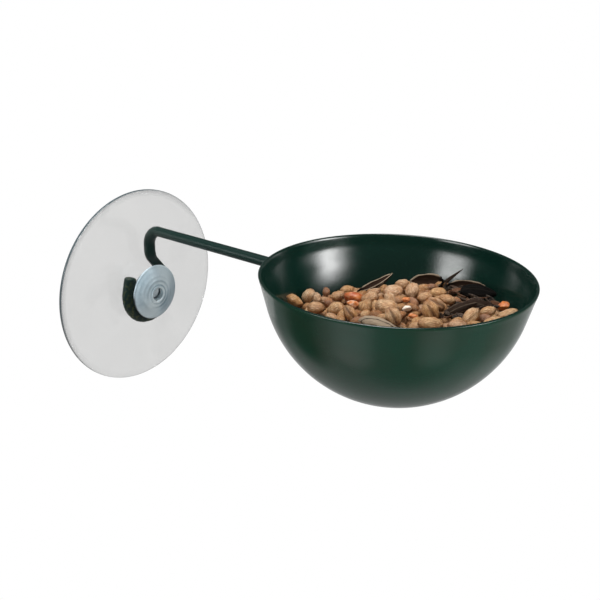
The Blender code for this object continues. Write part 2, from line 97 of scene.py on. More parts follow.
# Wheat grains that show singly: turn as the viewer sees it in degrees, length and width against
# the solid, and tone from brown to pale
GRAIN_KINDS = {
    1: (-30, 0.90, 0.88, 0.35), 2: (60, 0.76, 1.00, 0.90), 3: (0, 0.84, 0.95, 0.42),
    4: (20, 0.74, 0.82, 0.55), 5: (30, 0.82, 1.05, 0.66), 6: (-50, 0.88, 0.88, 0.25),
    7: (25, 0.86, 0.92, 0.72), 8: (-5, 1.12, 1.22, 0.80), 9: (-60, 0.92, 1.12, 0.78),
    10: (-55, 0.98, 1.15, 0.50), 11: (-25, 0.88, 0.85, 0.58), 12: (0, 1.10, 1.00, 0.62),
    13: (5, 0.85, 0.90, 0.70), 14: (50, 1.00, 1.02, 0.74), 15: (20, 0.98, 0.85, 0.66),
    16: (10, 0.72, 0.82, 0.72), 17: (70, 0.82, 1.06, 0.82), 18: (10, 0.80, 0.92, 0.48),
    19: (20, 0.72, 0.72, 0.55), 20: (-10, 0.78, 0.76, 0.45), 32: (-75, 0.66, 0.70, 0.95),
    33: (90, 0.52, 0.60, 0.04), 34: (10, 0.70, 0.76, 0.38), 35: (20, 0.62, 0.62, 0.70),
    36: (70, 0.78, 0.88, 0.60), 37: (15, 0.95, 1.18, 0.82), 38: (20, 0.76, 0.82, 0.60),
    39: (25, 0.90, 0.78, 0.62), 40: (-70, 0.74, 0.82, 0.86),
}
# Wheat grains whose crease looks at the viewer
CREASED = (6, 9, 10, 11)
# Maize pieces: tone from red over orange to white, and length and width against the solid
MAIZE_KINDS = ((0.20, 1.65, 1.60), (0.58, 1.00, 1.05), (0.42, 0.68, 0.66),
               (1.25, 0.72, 0.82), (0.40, 0.62, 0.66), (0.34, 1.06, 1.12))
# Sunflower hulls: turn as the viewer sees it, which way they open (right, up, towards the viewer),
# how striped they are, length and girth against the solid, how brown outside, and how pale the edge
HULL_KINDS = (
    (30, (-0.3, 0.8, 0.5), 0.3, 1.12, 1.0, 0.3, 1.5),
    (184, (0.0, 0.30, 0.9), 0.3, 1.08, 1.35, 0.3, 1.0),
    (3, (0.0, 0.45, 0.85), 0.3, 1.16, 1.0, 0.3, 1.0),
    (-12, (0.0, -0.9, -0.3), 1.7, 1.22, 1.25, 0.3, 1.0),
    (27, (0.1, -0.3, -0.9), 0.25, 1.05, 1.0, 0.6, 1.0),
    (4, (0.0, -0.9, -0.2), 0.15, 1.08, 1.2, 0.6, 1.0),
)
# Seeds that have rolled a little from their solids: millimetres right and up as the viewer sees it
ROLLED = {"wheat_grain_01": (-1.5, 0.8), "sunflower_hull_03": (0.3, -0.5),
          "sunflower_hull_04": (2.0, 0.6), "husk_sliver_01": (-1.5, 0.2)}
# Farther than any two things in the bowl, and more settled seeds on a square metre than fit
NO_LIMIT = 1.0
MOST_SEEDS = 4.0e5

# Side lamps: azimuth and height over the bowl in degrees, and size in metres
SIDE_LAMPS = (("right", 6.0, 13.0, (0.58, 0.30)), ("left", -111.0, 13.0, (0.46, 0.30)))
LAMP_AIM = Vector((BOWL_AXIS, 0.0, 0.03))
LAMP_DISTANCE = 1.2
# The lamps as the gloss shows them: azimuth, height, half width and half height in degrees, how
# crisp their sides are, and strength
SOFTBOXES = ((7.0, 10.0, 9.0, 4.3, 2.0, 26.0), (31.0, 8.0, 6.0, 5.0, 2.0, 1.3),
             (-112.0, 15.0, 12.5, 4.6, 4.0, 13.0))
# Dark flags and pale patches in the gloss: direction, cosines where they begin and are full, strength
DARK_FLAGS = (((0.366, -0.211, -0.906), 0.866, 0.99, 0.45), ((-0.68, -0.27, -0.68), 0.945, 0.99, 0.85))
PALE_PATCHES = (((-0.140, -0.606, -0.783), 0.956, 0.9986, 0.50),
                ((0.646, -0.162, -0.746), 0.966, 0.9986, 0.42),
                ((0.244, 0.749, -0.616), 0.94, 0.995, 0.16))
# Camera: azimuth, height and roll in degrees, place, and lens in millimetres
CAMERA_TURNS = (38.082, 21.319, 1.06)
CAMERA_PLACE = (0.26343, -0.22544, 0.12710)
CAMERA_LENS = 51.33


def length(name, description, default):
    """A length setting, in metres."""
    return FloatProperty(name=name, description=description, default=default, min=0.0,
                         precision=5, subtype="DISTANCE", unit="LENGTH")


def turn(name, description, degrees):
    """An angle setting, given in degrees."""
    return FloatProperty(name=name, description=description, default=math.radians(degrees),
                         subtype="ANGLE", unit="ROTATION")


def colour(name, description, default):
    """A linear colour setting."""
    return FloatVectorProperty(name=name, description=description, default=default, size=3,
                               min=0.0, max=1.0, subtype="COLOR")


def power(name, description, default):
    """A setting of a lamp's power, in watts."""
    return FloatProperty(name=name, description=description, default=default, min=0.0, unit="POWER")


class CupLooks(bpy.types.PropertyGroup):
    """Sizes and finish of the suction cup."""

    lip_radius: length("Lip radius", "Outer radius of the disc", CUP_BOX[1].y)
    lip_thickness: length("Lip thickness", "Thickness of the disc at its edge", 1.0 * MM)
    lip_round: length("Lip rounding", "Rounding of the disc's edge", 0.3 * MM)
    seal_width: length("Seal width", "Flat ring that lies on the pane", 3.0 * MM)
    dish_depth: length("Dish depth", "Hollow behind the disc", 2.2 * MM)
    disc_rise: length("Disc rise", "Front of the disc at the neck, from the pane", 5.0 * MM)
    mould_ring: length("Mould ring", "Radius of the faint ring in the disc", 16.0 * MM)
    neck_radius: length("Neck radius", "Radius of the neck the hook hangs on", 7.0 * MM)
    neck_fillet: length("Neck fillet", "Rounding at both ends of the neck", 0.8 * MM)
    head_radius: length("Head radius", "Radius of the domed head", 11.5 * MM)
    head_back: length("Head back", "Back of the head, from the pane", 9.6 * MM)
    head_edge: length("Head edge", "Thickness of the head's rounded edge", 1.2 * MM)
    head_crown: length("Head crown", "Height of the head's dome over its edge", 2.3 * MM)
    ripple: length("Ripple", "Height of the rings round the nose", 0.09 * MM)
    nose_radius: length("Nose radius", "Raised ring round the blind hole", 3.9 * MM)
    nose_rise: length("Nose rise", "Height of that ring", 0.4 * MM)
    nose_sink: length("Nose sink", "How far that ring starts below the dome", 0.15 * MM)
    # Radius of the painted glint round the blind hole
    glint_radius: length("Glint radius", "Pale line round the blind hole", 2.9 * MM)
    hole_radius: length("Hole radius", "Radius of the blind hole", 2.7 * MM)
    hole_depth: length("Hole depth", "Depth of the blind hole", 4.5 * MM)
    hole_round: length("Hole rounding", "Rounding of the blind hole's floor", 0.4 * MM)
    droop: length("Droop", "How far the loaded head is pulled down and sideways", 0.45 * MM)
    sag: length("Sag", "How much further its nose hangs down", 0.25 * MM)
    swing: length("Swing", "How much further its nose is pulled sideways", 0.9 * MM)
    clear: colour("Clear PVC", "Tint of the thin disc", (0.70, 0.70, 0.695))
    head: colour("Head", "Bluish tint of the thick head", (0.74, 0.88, 0.95))
    # Random darker streaks of the head, and painted shade on its far side, in its dark spokes and in the
    # dark arcs of its rings
    head_streak_and_painted_shade: colour("Head shade", "Darker streaks in the head", (0.31, 0.44, 0.52))
    # Painted glints of the head: pale spokes, pale arcs and the pale ring round the nose
    head_painted_glint: colour("Head glints", "Pale streaks and rings in the head", (0.85, 0.97, 1.0))
    # Painted shade where the wire shows through the head's edge
    seam: colour("Seam", "Dark line where the wire shows in the head's edge", (0.010, 0.020, 0.030))
    # The cut edge's blue-grey is painted shade, darkest round one side of the disc
    lip: colour("Lip", "Blue-grey of the cut edge", (0.085, 0.11, 0.12))
    hole: colour("Hole", "Shade inside the blind hole", (0.03, 0.045, 0.06))


class WireLooks(bpy.types.PropertyGroup):
    """Sizes and finish of the bent wire."""

    diameter: length("Diameter", "Thickness of the coated wire", 4.0 * MM)
    loop_radius: length("Loop radius", "Centre line of the open loop", 11.1 * MM)
    seat_radius: length("Seat radius", "Neck's axis to the wire's centre where the loop bears", 9.3 * MM)
    seat_angle: turn("Seat angle", "Where the loop bears on the neck", 21)
    end_angle: turn("End angle", "Where the loop straightens into its tail", 167)
    tail: length("Tail", "Straight stretch up to the cut end", 5.6 * MM)
    jog_angle: turn("Jog angle", "Where the loop runs off into the jog", 39.3)
    jog_radius: length("Jog radius", "Bend of the jog", 7.0 * MM)
    bend_radius: length("Bend radius", "Bend from the upright into the arm", 6.5 * MM)
    rough_stretch: length("Rough stretch", "How far from the cut end the coat is all lumpy", 24.0 * MM)
    smooth_start: length("Smooth start", "How far from the cut end the coat is all smooth", 46.0 * MM)
    lump: length("Coat lumps", "How far the dipped coat stands out at the loop", 0.22 * MM)
    pool: length("Coat pool", "How much the coat thickens on the loop's inner side", 0.75 * MM)
    sleeve: length("Coat sleeve", "How much the coat thickens on the upright, towards the arm", 0.7 * MM)
    weld_leg: length("Weld leg", "How far the weld spreads over the bowl", 2.1 * MM)
    weld_length: length("Weld length", "How far the weld runs along the wire", 2.6 * MM)
    coat: colour("Coat", "Dark green of the dipped coat", (0.004, 0.020, 0.016))
    scuff: colour("Scuff", "Olive of the coat's rough patches", (0.060, 0.072, 0.022))


class BowlLooks(bpy.types.PropertyGroup):
    """Sizes and finish of the bowl."""

    rim_radius: length("Rim radius", "Outer radius at the rim", 45.0 * MM)
    round_radius: length("Round radius", "Radius of the round part", 43.8 * MM)
    depth: length("Depth", "Rim to base", 41.2 * MM)
    base_radius: length("Base radius", "Flat the bowl stands on", 11.5 * MM)
    sheet: length("Sheet", "Thickness of the steel", 0.7 * MM)
    dent: length("Dents", "How far the pressing departs from round", 0.06 * MM)
    rim_lean: turn("Rim lean", "How far the band inside the rim leans in", 6.5)
    rim_band: length("Rim band", "Depth of that band", 3.7 * MM)
    wall_lean: turn("Wall lean", "How far the wall below it leans out", 2.4)
    wall_band: length("Wall band", "Depth down to which the wall leans out", 13.0 * MM)
    waist: length("Waist", "How much thinner the wall is between the two", 0.20 * MM)
    bead: length("Rim bead", "How far the enamel stands out at the rim's outer edge", 0.07 * MM)
    bead_depth: length("Bead depth", "Middle of that bead, below the rim", 0.5 * MM)
    bead_width: length("Bead width", "Half the width of that bead", 0.7 * MM)
    enamel: colour("Enamel", "Dark green gloss enamel outside", (0.003, 0.042, 0.023))
    enamel_worn: colour("Enamel shade", "Browner patches of the enamel", (0.011, 0.035, 0.018))
    # The darker green inside the bowl is painted shade of the hollow
    enamel_inside_painted_shade: colour("Enamel inside", "Thicker, darker enamel inside", (0.003, 0.017, 0.012))


class SeedLooks(bpy.types.PropertyGroup):
    """Sizes and colours of the seed mix."""

    plump: FloatProperty(name="Plumpness", description="Size of the loose seeds against the solids",
                         default=1.0, min=0.8, max=1.3)
    # The core is dust, darkened as painted shade of the gaps
    core_depth: length("Core depth", "Dust between the grains, below the bed's skin", 4.0 * MM)
    grain_depth: length("Grain depth", "Middle of the grains at the wall, below the bed's skin", 2.5 * MM)
    top_depth: length("Top depth", "Middle of the grains on top, below the bed's skin", 1.5 * MM)
    wall_gap: length("Wall gap", "Least distance from the grains on top to the bowl", 3.9 * MM)
    spacing: length("Spacing", "Least distance between settled grains", 3.3 * MM)
    upper_spacing: length("Upper spacing", "Least distance between the grains that fill gaps", 3.2 * MM)
    upper_lift: length("Upper lift", "Middle of those grains over the bed's skin", 0.6 * MM)
    upper_gap: length("Upper gap", "Least distance from those grains to the bowl", 5.0 * MM)
    clearance: length("Clearance", "Least distance from those grains to the loose seeds", 1.3 * MM)
    reach: length("Reach", "Greatest distance from those grains to the loose seeds", 2.6 * MM)
    chaff_spacing: length("Chaff spacing", "Least distance between flakes of chaff", 2.2 * MM)
    chaff_lift: length("Chaff lift", "Middle of the flakes over the bed's skin", 1.2 * MM)
    chaff_clearance: length("Chaff clearance", "Least distance from the flakes to the loose seeds", 0.5 * MM)
    chaff_reach: length("Chaff reach", "How far the flakes lie from the dark hulls", 3.0 * MM)
    seed: IntProperty(name="Seed", description="Start value of everything random", default=11)
    pale: colour("Pale grain", "Palest wheat", (0.72, 0.52, 0.325))
    tan: colour("Tan grain", "Common wheat", (0.62, 0.365, 0.150))
    brown: colour("Brown grain", "Darkest wheat", (0.19, 0.070, 0.024))
    rosy: colour("Rosy grain", "Pinkish grains", (0.47, 0.29, 0.22))
    blush: colour("Blush", "Orange-brown blotches of the wheat", (0.48, 0.20, 0.060))
    # Painted highlight on the ridges of the wheat's wrinkles
    ridge: colour("Ridge", "Palest ridges of the wheat's skin", (0.88, 0.70, 0.51))
    # Painted shade at the bottom of a grain's crease
    crease: colour("Crease", "Bottom of a grain's crease", (0.08, 0.032, 0.013))
    maize_red: colour("Red maize", "Darkest maize", (0.40, 0.085, 0.028))
    maize_orange: colour("Orange maize", "Common maize", (0.62, 0.20, 0.045))
    maize_white: colour("White maize", "Broken faces of maize", (0.92, 0.81, 0.67))
    shell_dark: colour("Shell", "Outside of a sunflower shell", (0.005, 0.0045, 0.004))
    shell_stripe: colour("Stripe", "Pale stripes and edges of a shell", (0.36, 0.28, 0.20))
    shell_inside: colour("Shell inside", "Inside of an opened shell", (0.042, 0.024, 0.016))
    # Dust between the grains, darkened as painted shade of the gaps
    dust_and_gap_shade: colour("Dust", "Dark dust between the settled grains", (0.050, 0.022, 0.009))


class StageLooks(bpy.types.PropertyGroup):
    """Floor, lamps and background."""

    floor_depth: length("Floor depth", "Floor below the neck's axis", 0.60)
    floor_radius: length("Floor radius", "Where the floor has faded out", 0.52)
    floor_centre: length("Floor centre", "Middle of the floor, from the pane", 0.085)
    floor: colour("Floor", "Pale floor", (0.82, 0.82, 0.82))
    ambient: FloatProperty(name="Ambient", description="Even light from all round", default=0.34, min=0.0)
    right_power: power("Right lamp", "Power of the softbox on the right", 9.5)
    left_power: power("Left lamp", "Power of the softbox on the left", 4.6)
    top_power: power("Top lamp", "Power of the lamp overhead", 13.0)


def looks(name):
    """The settings of one group of pieces."""
    return getattr(bpy.context.scene, "feeder_" + name)


class NodeTree:
    """Short calls for the nodes that the materials, the world and the scatter are built from."""

    def __init__(self, tree):
        self.tree = tree

    def feed(self, socket, value):
        """Give a socket a value or another node's socket."""
        if isinstance(value, bpy.types.NodeSocket):
            self.tree.links.new(value, socket)
        else:
            socket.default_value = value

    def add(self, kind, inputs=None, **settings):
        """Add a node; each input takes a value or another node's socket."""
        made = self.tree.nodes.new(kind)
        for key, value in settings.items():
            setattr(made, key, value)
        for key, value in (inputs or {}).items():
            self.feed(made.inputs[key], value)
        return made

    def calc(self, operation, first, second=0.0):
        """One step of arithmetic."""
        return self.add("ShaderNodeMath", {0: first, 1: second}, operation=operation).outputs[0]

    def times(self, first, second):
        """Product of two values."""
        return self.calc("MULTIPLY", first, second)

    def plus(self, first, second):
        """Sum of two values."""
        return self.calc("ADD", first, second)

    def vector(self, operation, first, second=(0.0, 0.0, 0.0), output="Vector"):
        """One step of arithmetic on vectors."""
        inputs = {0: first, 1: second}
        return self.add("ShaderNodeVectorMath", inputs, operation=operation).outputs[output]

    def split(self, vector):
        """The three parts of a vector."""
        return self.add("ShaderNodeSeparateXYZ", {0: vector}).outputs

    def remap(self, value, low, high, to_low=0.0, to_high=1.0):
        """Value moved from one range to another, clamped."""
        inputs = {0: value, 1: low, 2: high, 3: to_low, 4: to_high}
        return self.add("ShaderNodeMapRange", inputs).outputs[0]

    def between(self, factor, first, second):
        """Mix of two values."""
        inputs = {0: factor, 2: first, 3: second}
        return self.add("ShaderNodeMix", inputs, data_type="FLOAT").outputs[0]

    def blend(self, factor, first, second):
        """Mix of two colours, each a colour or a socket."""
        inputs = {0: factor}
        for key, tint in ((6, first), (7, second)):
            inputs[key] = tint if isinstance(tint, bpy.types.NodeSocket) else (*tint, 1.0)
        return self.add("ShaderNodeMix", inputs, data_type="RGBA").outputs[2]

    def ramp(self, factor, first, middle, last, place):
        """Colour from the first over the middle one, which has its place from 0 to 1, to the last."""
        made = self.add("ShaderNodeValToRGB", {0: factor})
        stops = made.color_ramp.elements
        stops[0].color, stops[1].color = (*first, 1.0), (*last, 1.0)
        stops.new(place).color = (*middle, 1.0)
        return made.outputs[0]

    def mottle(self, vector, scale, detail=3.0, roughness=0.55):
        """Noise factor on a vector."""
        inputs = {"Vector": vector, "Scale": scale, "Detail": detail, "Roughness": roughness}
        return self.add("ShaderNodeTexNoise", inputs).outputs["Fac"]

    def place(self):
        """Object coordinates of a piece."""
        return self.add("ShaderNodeTexCoord").outputs["Object"]

    def stored(self, name, output="Fac"):
        """A value kept on the mesh."""
        return self.add("ShaderNodeAttribute", attribute_name=name).outputs[output]


class Finish(NodeTree):
    """A Principled material; constant values go straight onto its shader's sockets."""

    def __init__(self, name, **values):
        self.material = bpy.data.materials.new(name)
        self.material.use_nodes = True
        super().__init__(self.material.node_tree)
        self.shader = self.tree.nodes["Principled BSDF"]
        self.set(**values)

    def set(self, **values):
        """Give sockets of the shader their values; an underscore stands for a space."""
        for key, value in values.items():
            self.feed(self.shader.inputs[key.replace("_", " ")], value)

    def relief(self, height, depth, strength=1.0):
        """Bump of a height map, whose depth is in metres."""
        bump = self.add("ShaderNodeBump", {"Height": height, "Distance": depth, "Strength": strength})
        self.set(Normal=bump.outputs["Normal"])


def shares(steps):
    """Shares of the way from 0 to 1, both ends left out."""
    return [i / steps for i in range(1, steps)]


def stretch(first, last, steps):
    """Points on the straight between two points, both ends left out."""
    return [tuple(a + (b - a) * s for a, b in zip(first, last)) for s in shares(steps)]


def arc(centre, radius, start, end, steps, height=None):
    """Points along an arc, or along an ellipse of that height, both ends included."""
    height = radius if height is None else height
    angles = [start + (end - start) * i / steps for i in range(steps + 1)]
    return [(centre[0] + radius * math.cos(a), centre[1] + height * math.sin(a)) for a in angles]


def smooth(value, low, high):
    """Smooth step from 0 to 1."""
    x = np.clip((value - low) / (high - low), 0.0, 1.0)
    return x * x * (3 - 2 * x)


def hump(value, middle, width):
    """Bell curve that is 1 in its middle."""
    return np.exp(-((value - middle) / width) ** 2)


def join_rings(rings):
    """Faces between each closed ring of points and the next; corners that repeat at a pole are dropped."""
    faces = []
    for first, second in zip(rings, rings[1:]):
        for i in range(len(first)):
            j = (i + 1) % len(first)
            corners = [first[i], second[i], second[j], first[j]]
            faces.append([c for k, c in enumerate(corners) if c != corners[k - 1]])
    return faces


def number_rings(count, sides):
    """Numbers of the points in rings that follow each other."""
    return [list(range(i * sides, (i + 1) * sides)) for i in range(count)]


def lathe(profile, steps):
    """Points and faces of a profile of (radius, height) points turned about Z."""
    points, rings = [], []
    for radius, height in profile:
        first = len(points)
        if radius < 1e-7:
            points.append((0.0, 0.0, height))
            rings.append([first] * steps)
            continue
        points += [(x, y, height) for x, y in arc((0.0, 0.0), radius, 0.0, math.tau, steps)[:-1]]
        rings.append(list(range(first, first + steps)))
    return np.array(points), join_rings(rings)


def plain_mesh(name, points, faces, values=None):
    """Mesh that keeps a number or a vector for each of its points."""
    mesh = bpy.data.meshes.new(name)
    mesh.from_pydata([tuple(p) for p in points], [], faces)
    for key, column in (values or {}).items():
        column = np.asarray(column, dtype=np.float32)
        kind, field = ("FLOAT_VECTOR", "vector") if column.ndim == 2 else ("FLOAT", "value")
        mesh.attributes.new(key, kind, "POINT").data.foreach_set(field, column.ravel())
    return mesh


def face_outwards(mesh, merge=0.0):
    """Turn a mesh's faces outwards, after merging points that are closer than a distance."""
    shape = bmesh.new()
    shape.from_mesh(mesh)
    if merge:
        bmesh.ops.remove_doubles(shape, verts=shape.verts, dist=merge)
    bmesh.ops.recalc_face_normals(shape, faces=shape.faces)
    shape.to_mesh(mesh)
    shape.free()


def add_object(name, data):
    """New object at the origin of the scene."""
    item = bpy.data.objects.new(name, data)
    bpy.context.scene.collection.objects.link(item)
    return item


def add_piece(name, points, faces, material, body, nodes=(), values=None):
    """Put a finished smooth mesh on a body, in place of the solids it stands for."""
    mesh = plain_mesh(name, points, faces, values)
    face_outwards(mesh)
    mesh.shade_smooth()
    mesh.materials.append(material)
    return seat_piece(add_object(name, mesh), body, nodes)


def seat_piece(item, body, nodes=()):
    """Let a finished object ride on a body."""
    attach(item, body)
    if nodes:
        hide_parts(*nodes)
    return item


def clear_pvc():
    """Soft clear PVC: grey in the thin disc, bluer and hazier in the thick head."""
    cup = looks("cup")
    pvc = Finish("clear_pvc", IOR=1.5)
    place, lip = pvc.place(), pvc.stored("lip")
    outward, sideways, _ = pvc.split(place)
    head = pvc.remap(outward, cup.disc_rise, cup.head_back + cup.head_edge)
    cloud = pvc.mottle(place, 34.0, 4.0, 0.6)
    milky = pvc.plus(pvc.times(head, 0.86), pvc.remap(cloud, 0.52, 0.78, 0.0, 0.10))
    paler = [min(1.0, c * 1.05) for c in cup.clear]
    # The cut lip gets its painted shade
    disc = pvc.blend(lip, pvc.blend(pvc.remap(cloud, 0.3, 0.7), cup.clear, paler), cup.lip)
    dome, ripple = head_tint(pvc, place, sideways, head)
    whole = pvc.blend(head, disc, dome)
    dull = pvc.times(pvc.stored("edge"), 0.4)
    # Painted shade inside the blind hole
    pvc.set(Base_Color=pvc.blend(pvc.stored("hole"), whole, cup.hole),
            Roughness=pvc.plus(pvc.remap(head, 0.0, 1.0, 0.07, 0.13), dull),
            Transmission_Weight=pvc.calc("SUBTRACT", 0.98, pvc.calc("MAXIMUM", milky, lip)))
    grain = pvc.times(pvc.mottle(place, 420.0, 2.0), 0.15)
    pvc.relief(pvc.plus(grain, ripple), 0.00010, 0.6)
    return pvc.material


def head_tint(pvc, place, sideways, head):
    """Colour of the cup's head, with random streaks and with painted shade and painted glints round its
    nose, and the height of the rings.
    """
    cup = looks("cup")
    streak = pvc.remap(pvc.mottle(place, 130.0, 4.0, 0.65), 0.36, 0.66)
    # Random streaks, and painted shade that grows towards +Y across the head
    shaded = pvc.calc("MAXIMUM", pvc.times(streak, 0.6), pvc.remap(sideways, 3.0 * MM, 11.0 * MM))
    tint = pvc.blend(shaded, cup.head, cup.head_streak_and_painted_shade)
    nose = (0.0, -cup.droop - cup.swing, -cup.droop - cup.sag)
    flat = pvc.vector("MULTIPLY", place, (0.0, 1.0, 1.0))
    spoke = pvc.vector("NORMALIZE", pvc.vector("SUBTRACT", flat, nose))
    # Painted highlight and painted shade in streaks round the nose
    for degrees, name, strength in HEAD_PAINTED_SPOKES:
        way = (0.0, math.cos(math.radians(degrees)), math.sin(math.radians(degrees)))
        along = pvc.vector("DOT_PRODUCT", spoke, way, "Value")
        tint = pvc.blend(pvc.remap(along, 0.72, 1.0, 0.0, strength), tint, getattr(cup, name))
    radius = pvc.vector("DISTANCE", flat, nose, "Value")
    near = pvc.times(pvc.remap(radius, 4.5 * MM, 8.5 * MM, 1.0, 0.15), head)
    near = pvc.times(near, pvc.remap(streak, 0.0, 1.0, 0.45, 1.0))
    ripple = pvc.times(pvc.calc("SINE", pvc.times(radius, 3500.0)), near)
    # Painted shade on the rings' dark halves and painted glints on their pale halves, stronger towards +Y
    arcs = pvc.times(ripple, pvc.remap(sideways, -5.0 * MM, 1.0 * MM, 0.25, 1.0))
    tint = pvc.blend(pvc.remap(arcs, 0.1, 0.9, 0.0, 0.9), tint, cup.head_streak_and_painted_shade)
    tint = pvc.blend(pvc.remap(arcs, -0.1, -0.9, 0.0, 0.5), tint, cup.head_painted_glint)
    # Painted glint ring round the blind hole
    tint = pvc.blend(pvc.times(pvc.stored("ring"), 0.65), tint, cup.head_painted_glint)
    # Painted shade where the wire shows through the head's edge
    return pvc.blend(pvc.stored("back"), tint, cup.seam), ripple


def green_enamel():
    """Dark green gloss enamel with orange peel, dust specks and slightly browner patches."""
    bowl = looks("bowl")
    enamel = Finish("green_enamel", IOR=1.5)
    place, inside = enamel.place(), enamel.stored("inside")
    patch = enamel.remap(enamel.mottle(place, 38.0), 0.45, 0.72)
    outside = enamel.blend(patch, bowl.enamel, bowl.enamel_worn)
    cloud = enamel.remap(enamel.mottle(place, 150.0, 4.0, 0.65), 0.3, 0.7, 0.11, 0.20)
    # The darker colour inside the bowl is painted shade of the hollow
    enamel.set(Base_Color=enamel.blend(inside, outside, bowl.enamel_inside_painted_shade),
               Roughness=enamel.plus(cloud, enamel.times(inside, 0.015)))
    spots = enamel.add("ShaderNodeTexVoronoi", {"Vector": place, "Scale": 380.0}).outputs["Distance"]
    speck = enamel.times(enamel.remap(spots, 0.0, 0.16, 1.0, 0.0), 0.6)
    enamel.relief(enamel.plus(enamel.mottle(place, 1500.0), speck), 0.00006, 0.30)
    return enamel.material


def green_coat():
    """Dipped green coat on the wire: satin, with rough olive patches at the loop."""
    wire = looks("wire")
    coat = Finish("green_coat", IOR=1.42)
    place, rough = coat.place(), coat.stored("rough")
    scuffed = coat.times(coat.remap(coat.mottle(place, 620.0), 0.52, 0.70), rough)
    coat.set(Base_Color=coat.blend(scuffed, wire.coat, wire.scuff),
             Roughness=coat.remap(rough, 0.0, 1.0, 0.38, 0.55))
    fine = coat.times(coat.mottle(place, 1500.0, 2.0), 0.25)
    coarse = coat.times(coat.mottle(place, 520.0), rough)
    coat.relief(coat.plus(fine, coarse), 0.00025, 0.4)
    return coat.material


def wheat_skin():
    """Dry wheat: skin from brown to pale by grain, orange blotches, wrinkles and dark ends, with painted
    shade in the crease and in the wrinkles' valleys and painted highlights on their ridges.
    """
    seeds = looks("seeds")
    skin = Finish("wheat_skin", Roughness=0.36, IOR=1.48)
    tone = skin.stored("tone")
    local = skin.vector("ADD", skin.stored("grain", "Vector"), skin.times(tone, 57.0))
    rosy = skin.remap(skin.calc("SINE", skin.times(tone, 47.0)), 0.2, 1.0, 0.0, 0.40)
    blotch = skin.remap(skin.mottle(local, 1.3, 3.0, 0.6), 0.42, 0.66, 0.0, 0.70)
    wrinkle = skin.mottle(skin.vector("MULTIPLY", local, (0.9, 3.2, 3.2)), 2.4, 4.0, 0.6)
    # Painted shade in the valleys of the wrinkles
    wrinkle_painted_shade = skin.remap(wrinkle, 0.30, 0.60, 0.88, 0.0)
    # Painted highlight on the ridges of the wrinkles
    ridge = skin.remap(wrinkle, 0.54, 0.74, 0.0, 0.55)
    end = skin.remap(skin.calc("ABSOLUTE", skin.stored("along")), 0.72, 1.0, 0.0, 0.55)
    # Painted shade in the crease
    crease = skin.times(skin.stored("crease"), 0.85)
    tint = skin.ramp(tone, seeds.brown, seeds.tan, seeds.pale, 0.45)
    for share, over in ((rosy, seeds.rosy), (blotch, seeds.blush), (wrinkle_painted_shade, seeds.brown),
                        (ridge, seeds.ridge), (end, seeds.brown), (crease, seeds.crease)):
        tint = skin.blend(share, tint, over)
    skin.set(Base_Color=tint)
    skin.relief(wrinkle, 0.0005, 0.85)
    return skin.material


def maize_skin():
    """Cracked maize: waxy orange and red skin, pale floury faces."""
    seeds = looks("seeds")
    skin = Finish("maize_skin", Roughness=0.42, IOR=1.45)
    local = skin.stored("grain", "Vector")
    uneven = skin.remap(skin.mottle(local, 1.5), 0.36, 0.64, -0.22, 0.24)
    tone = skin.plus(skin.stored("tone"), uneven)
    waxy = skin.ramp(tone, seeds.maize_red, seeds.maize_orange, seeds.maize_white, 0.55)
    flour = skin.remap(skin.mottle(local, 2.2), 0.52, 0.71, 0.0, 0.20)
    skin.set(Base_Color=skin.blend(flour, waxy, seeds.maize_white))
    skin.relief(skin.mottle(local, 5.0), 0.0004, 0.5)
    return skin.material


def sunflower_shell():
    """Sunflower shell: near black outside with pale stripes along it, brown inside, pale edges."""
    seeds = looks("seeds")
    shell = Finish("sunflower_shell", Roughness=0.5, Specular_IOR_Level=0.05)
    local, tone = shell.stored("grain", "Vector"), shell.stored("tone")
    wander = shell.times(shell.mottle(local, 2.0), 3.0)
    lines = shell.calc("SINE", shell.plus(shell.times(shell.split(local)[1], 9.0), wander))
    wide = shell.plus(lines, shell.times(tone, 1.1))
    stripe = shell.times(shell.remap(wide, 0.9, 1.3, 0.0, 0.9), tone)
    tint = shell.blend(shell.stored("inside"), seeds.shell_dark, seeds.shell_inside)
    for share in (stripe, shell.stored("edge")):
        tint = shell.blend(share, tint, seeds.shell_stripe)
    shell.set(Base_Color=tint)
    combed = shell.vector("MULTIPLY", local, (1.2, 14.0, 0.0))
    shell.relief(shell.mottle(combed, 2.0), 0.0005, 0.6)
    return shell.material


def husk_chaff():
    """Flakes of husk, from dark brown to straw."""
    seeds = looks("seeds")
    chaff = Finish("husk_chaff", Roughness=0.7, Specular_IOR_Level=0.2)
    fibre = chaff.mottle(chaff.stored("grain", "Vector"), 3.0)
    tint = chaff.ramp(chaff.stored("tone"), seeds.shell_dark, seeds.shell_inside, seeds.brown, 0.5)
    straw = chaff.remap(fibre, 0.5, 0.7, 0.0, 0.4)
    chaff.set(Base_Color=chaff.blend(straw, tint, seeds.shell_stripe))
    chaff.relief(fibre, 0.0003, 0.4)
    return chaff.material


def settled_dust():
    """Dark husk and dust between the settled grains, darkened as painted shade of the gaps."""
    seeds = looks("seeds")
    dust_and_gap_shade = Finish("settled_dust", Roughness=0.85)
    place = dust_and_gap_shade.place()
    fleck = dust_and_gap_shade.remap(dust_and_gap_shade.mottle(place, 700.0, 4.0), 0.40, 0.68)
    dust_and_gap_shade.set(Base_Color=dust_and_gap_shade.blend(fleck, seeds.dust_and_gap_shade, seeds.brown))
    dust_and_gap_shade.relief(dust_and_gap_shade.mottle(place, 500.0, 4.0), 0.0008, 0.6)
    return dust_and_gap_shade.material


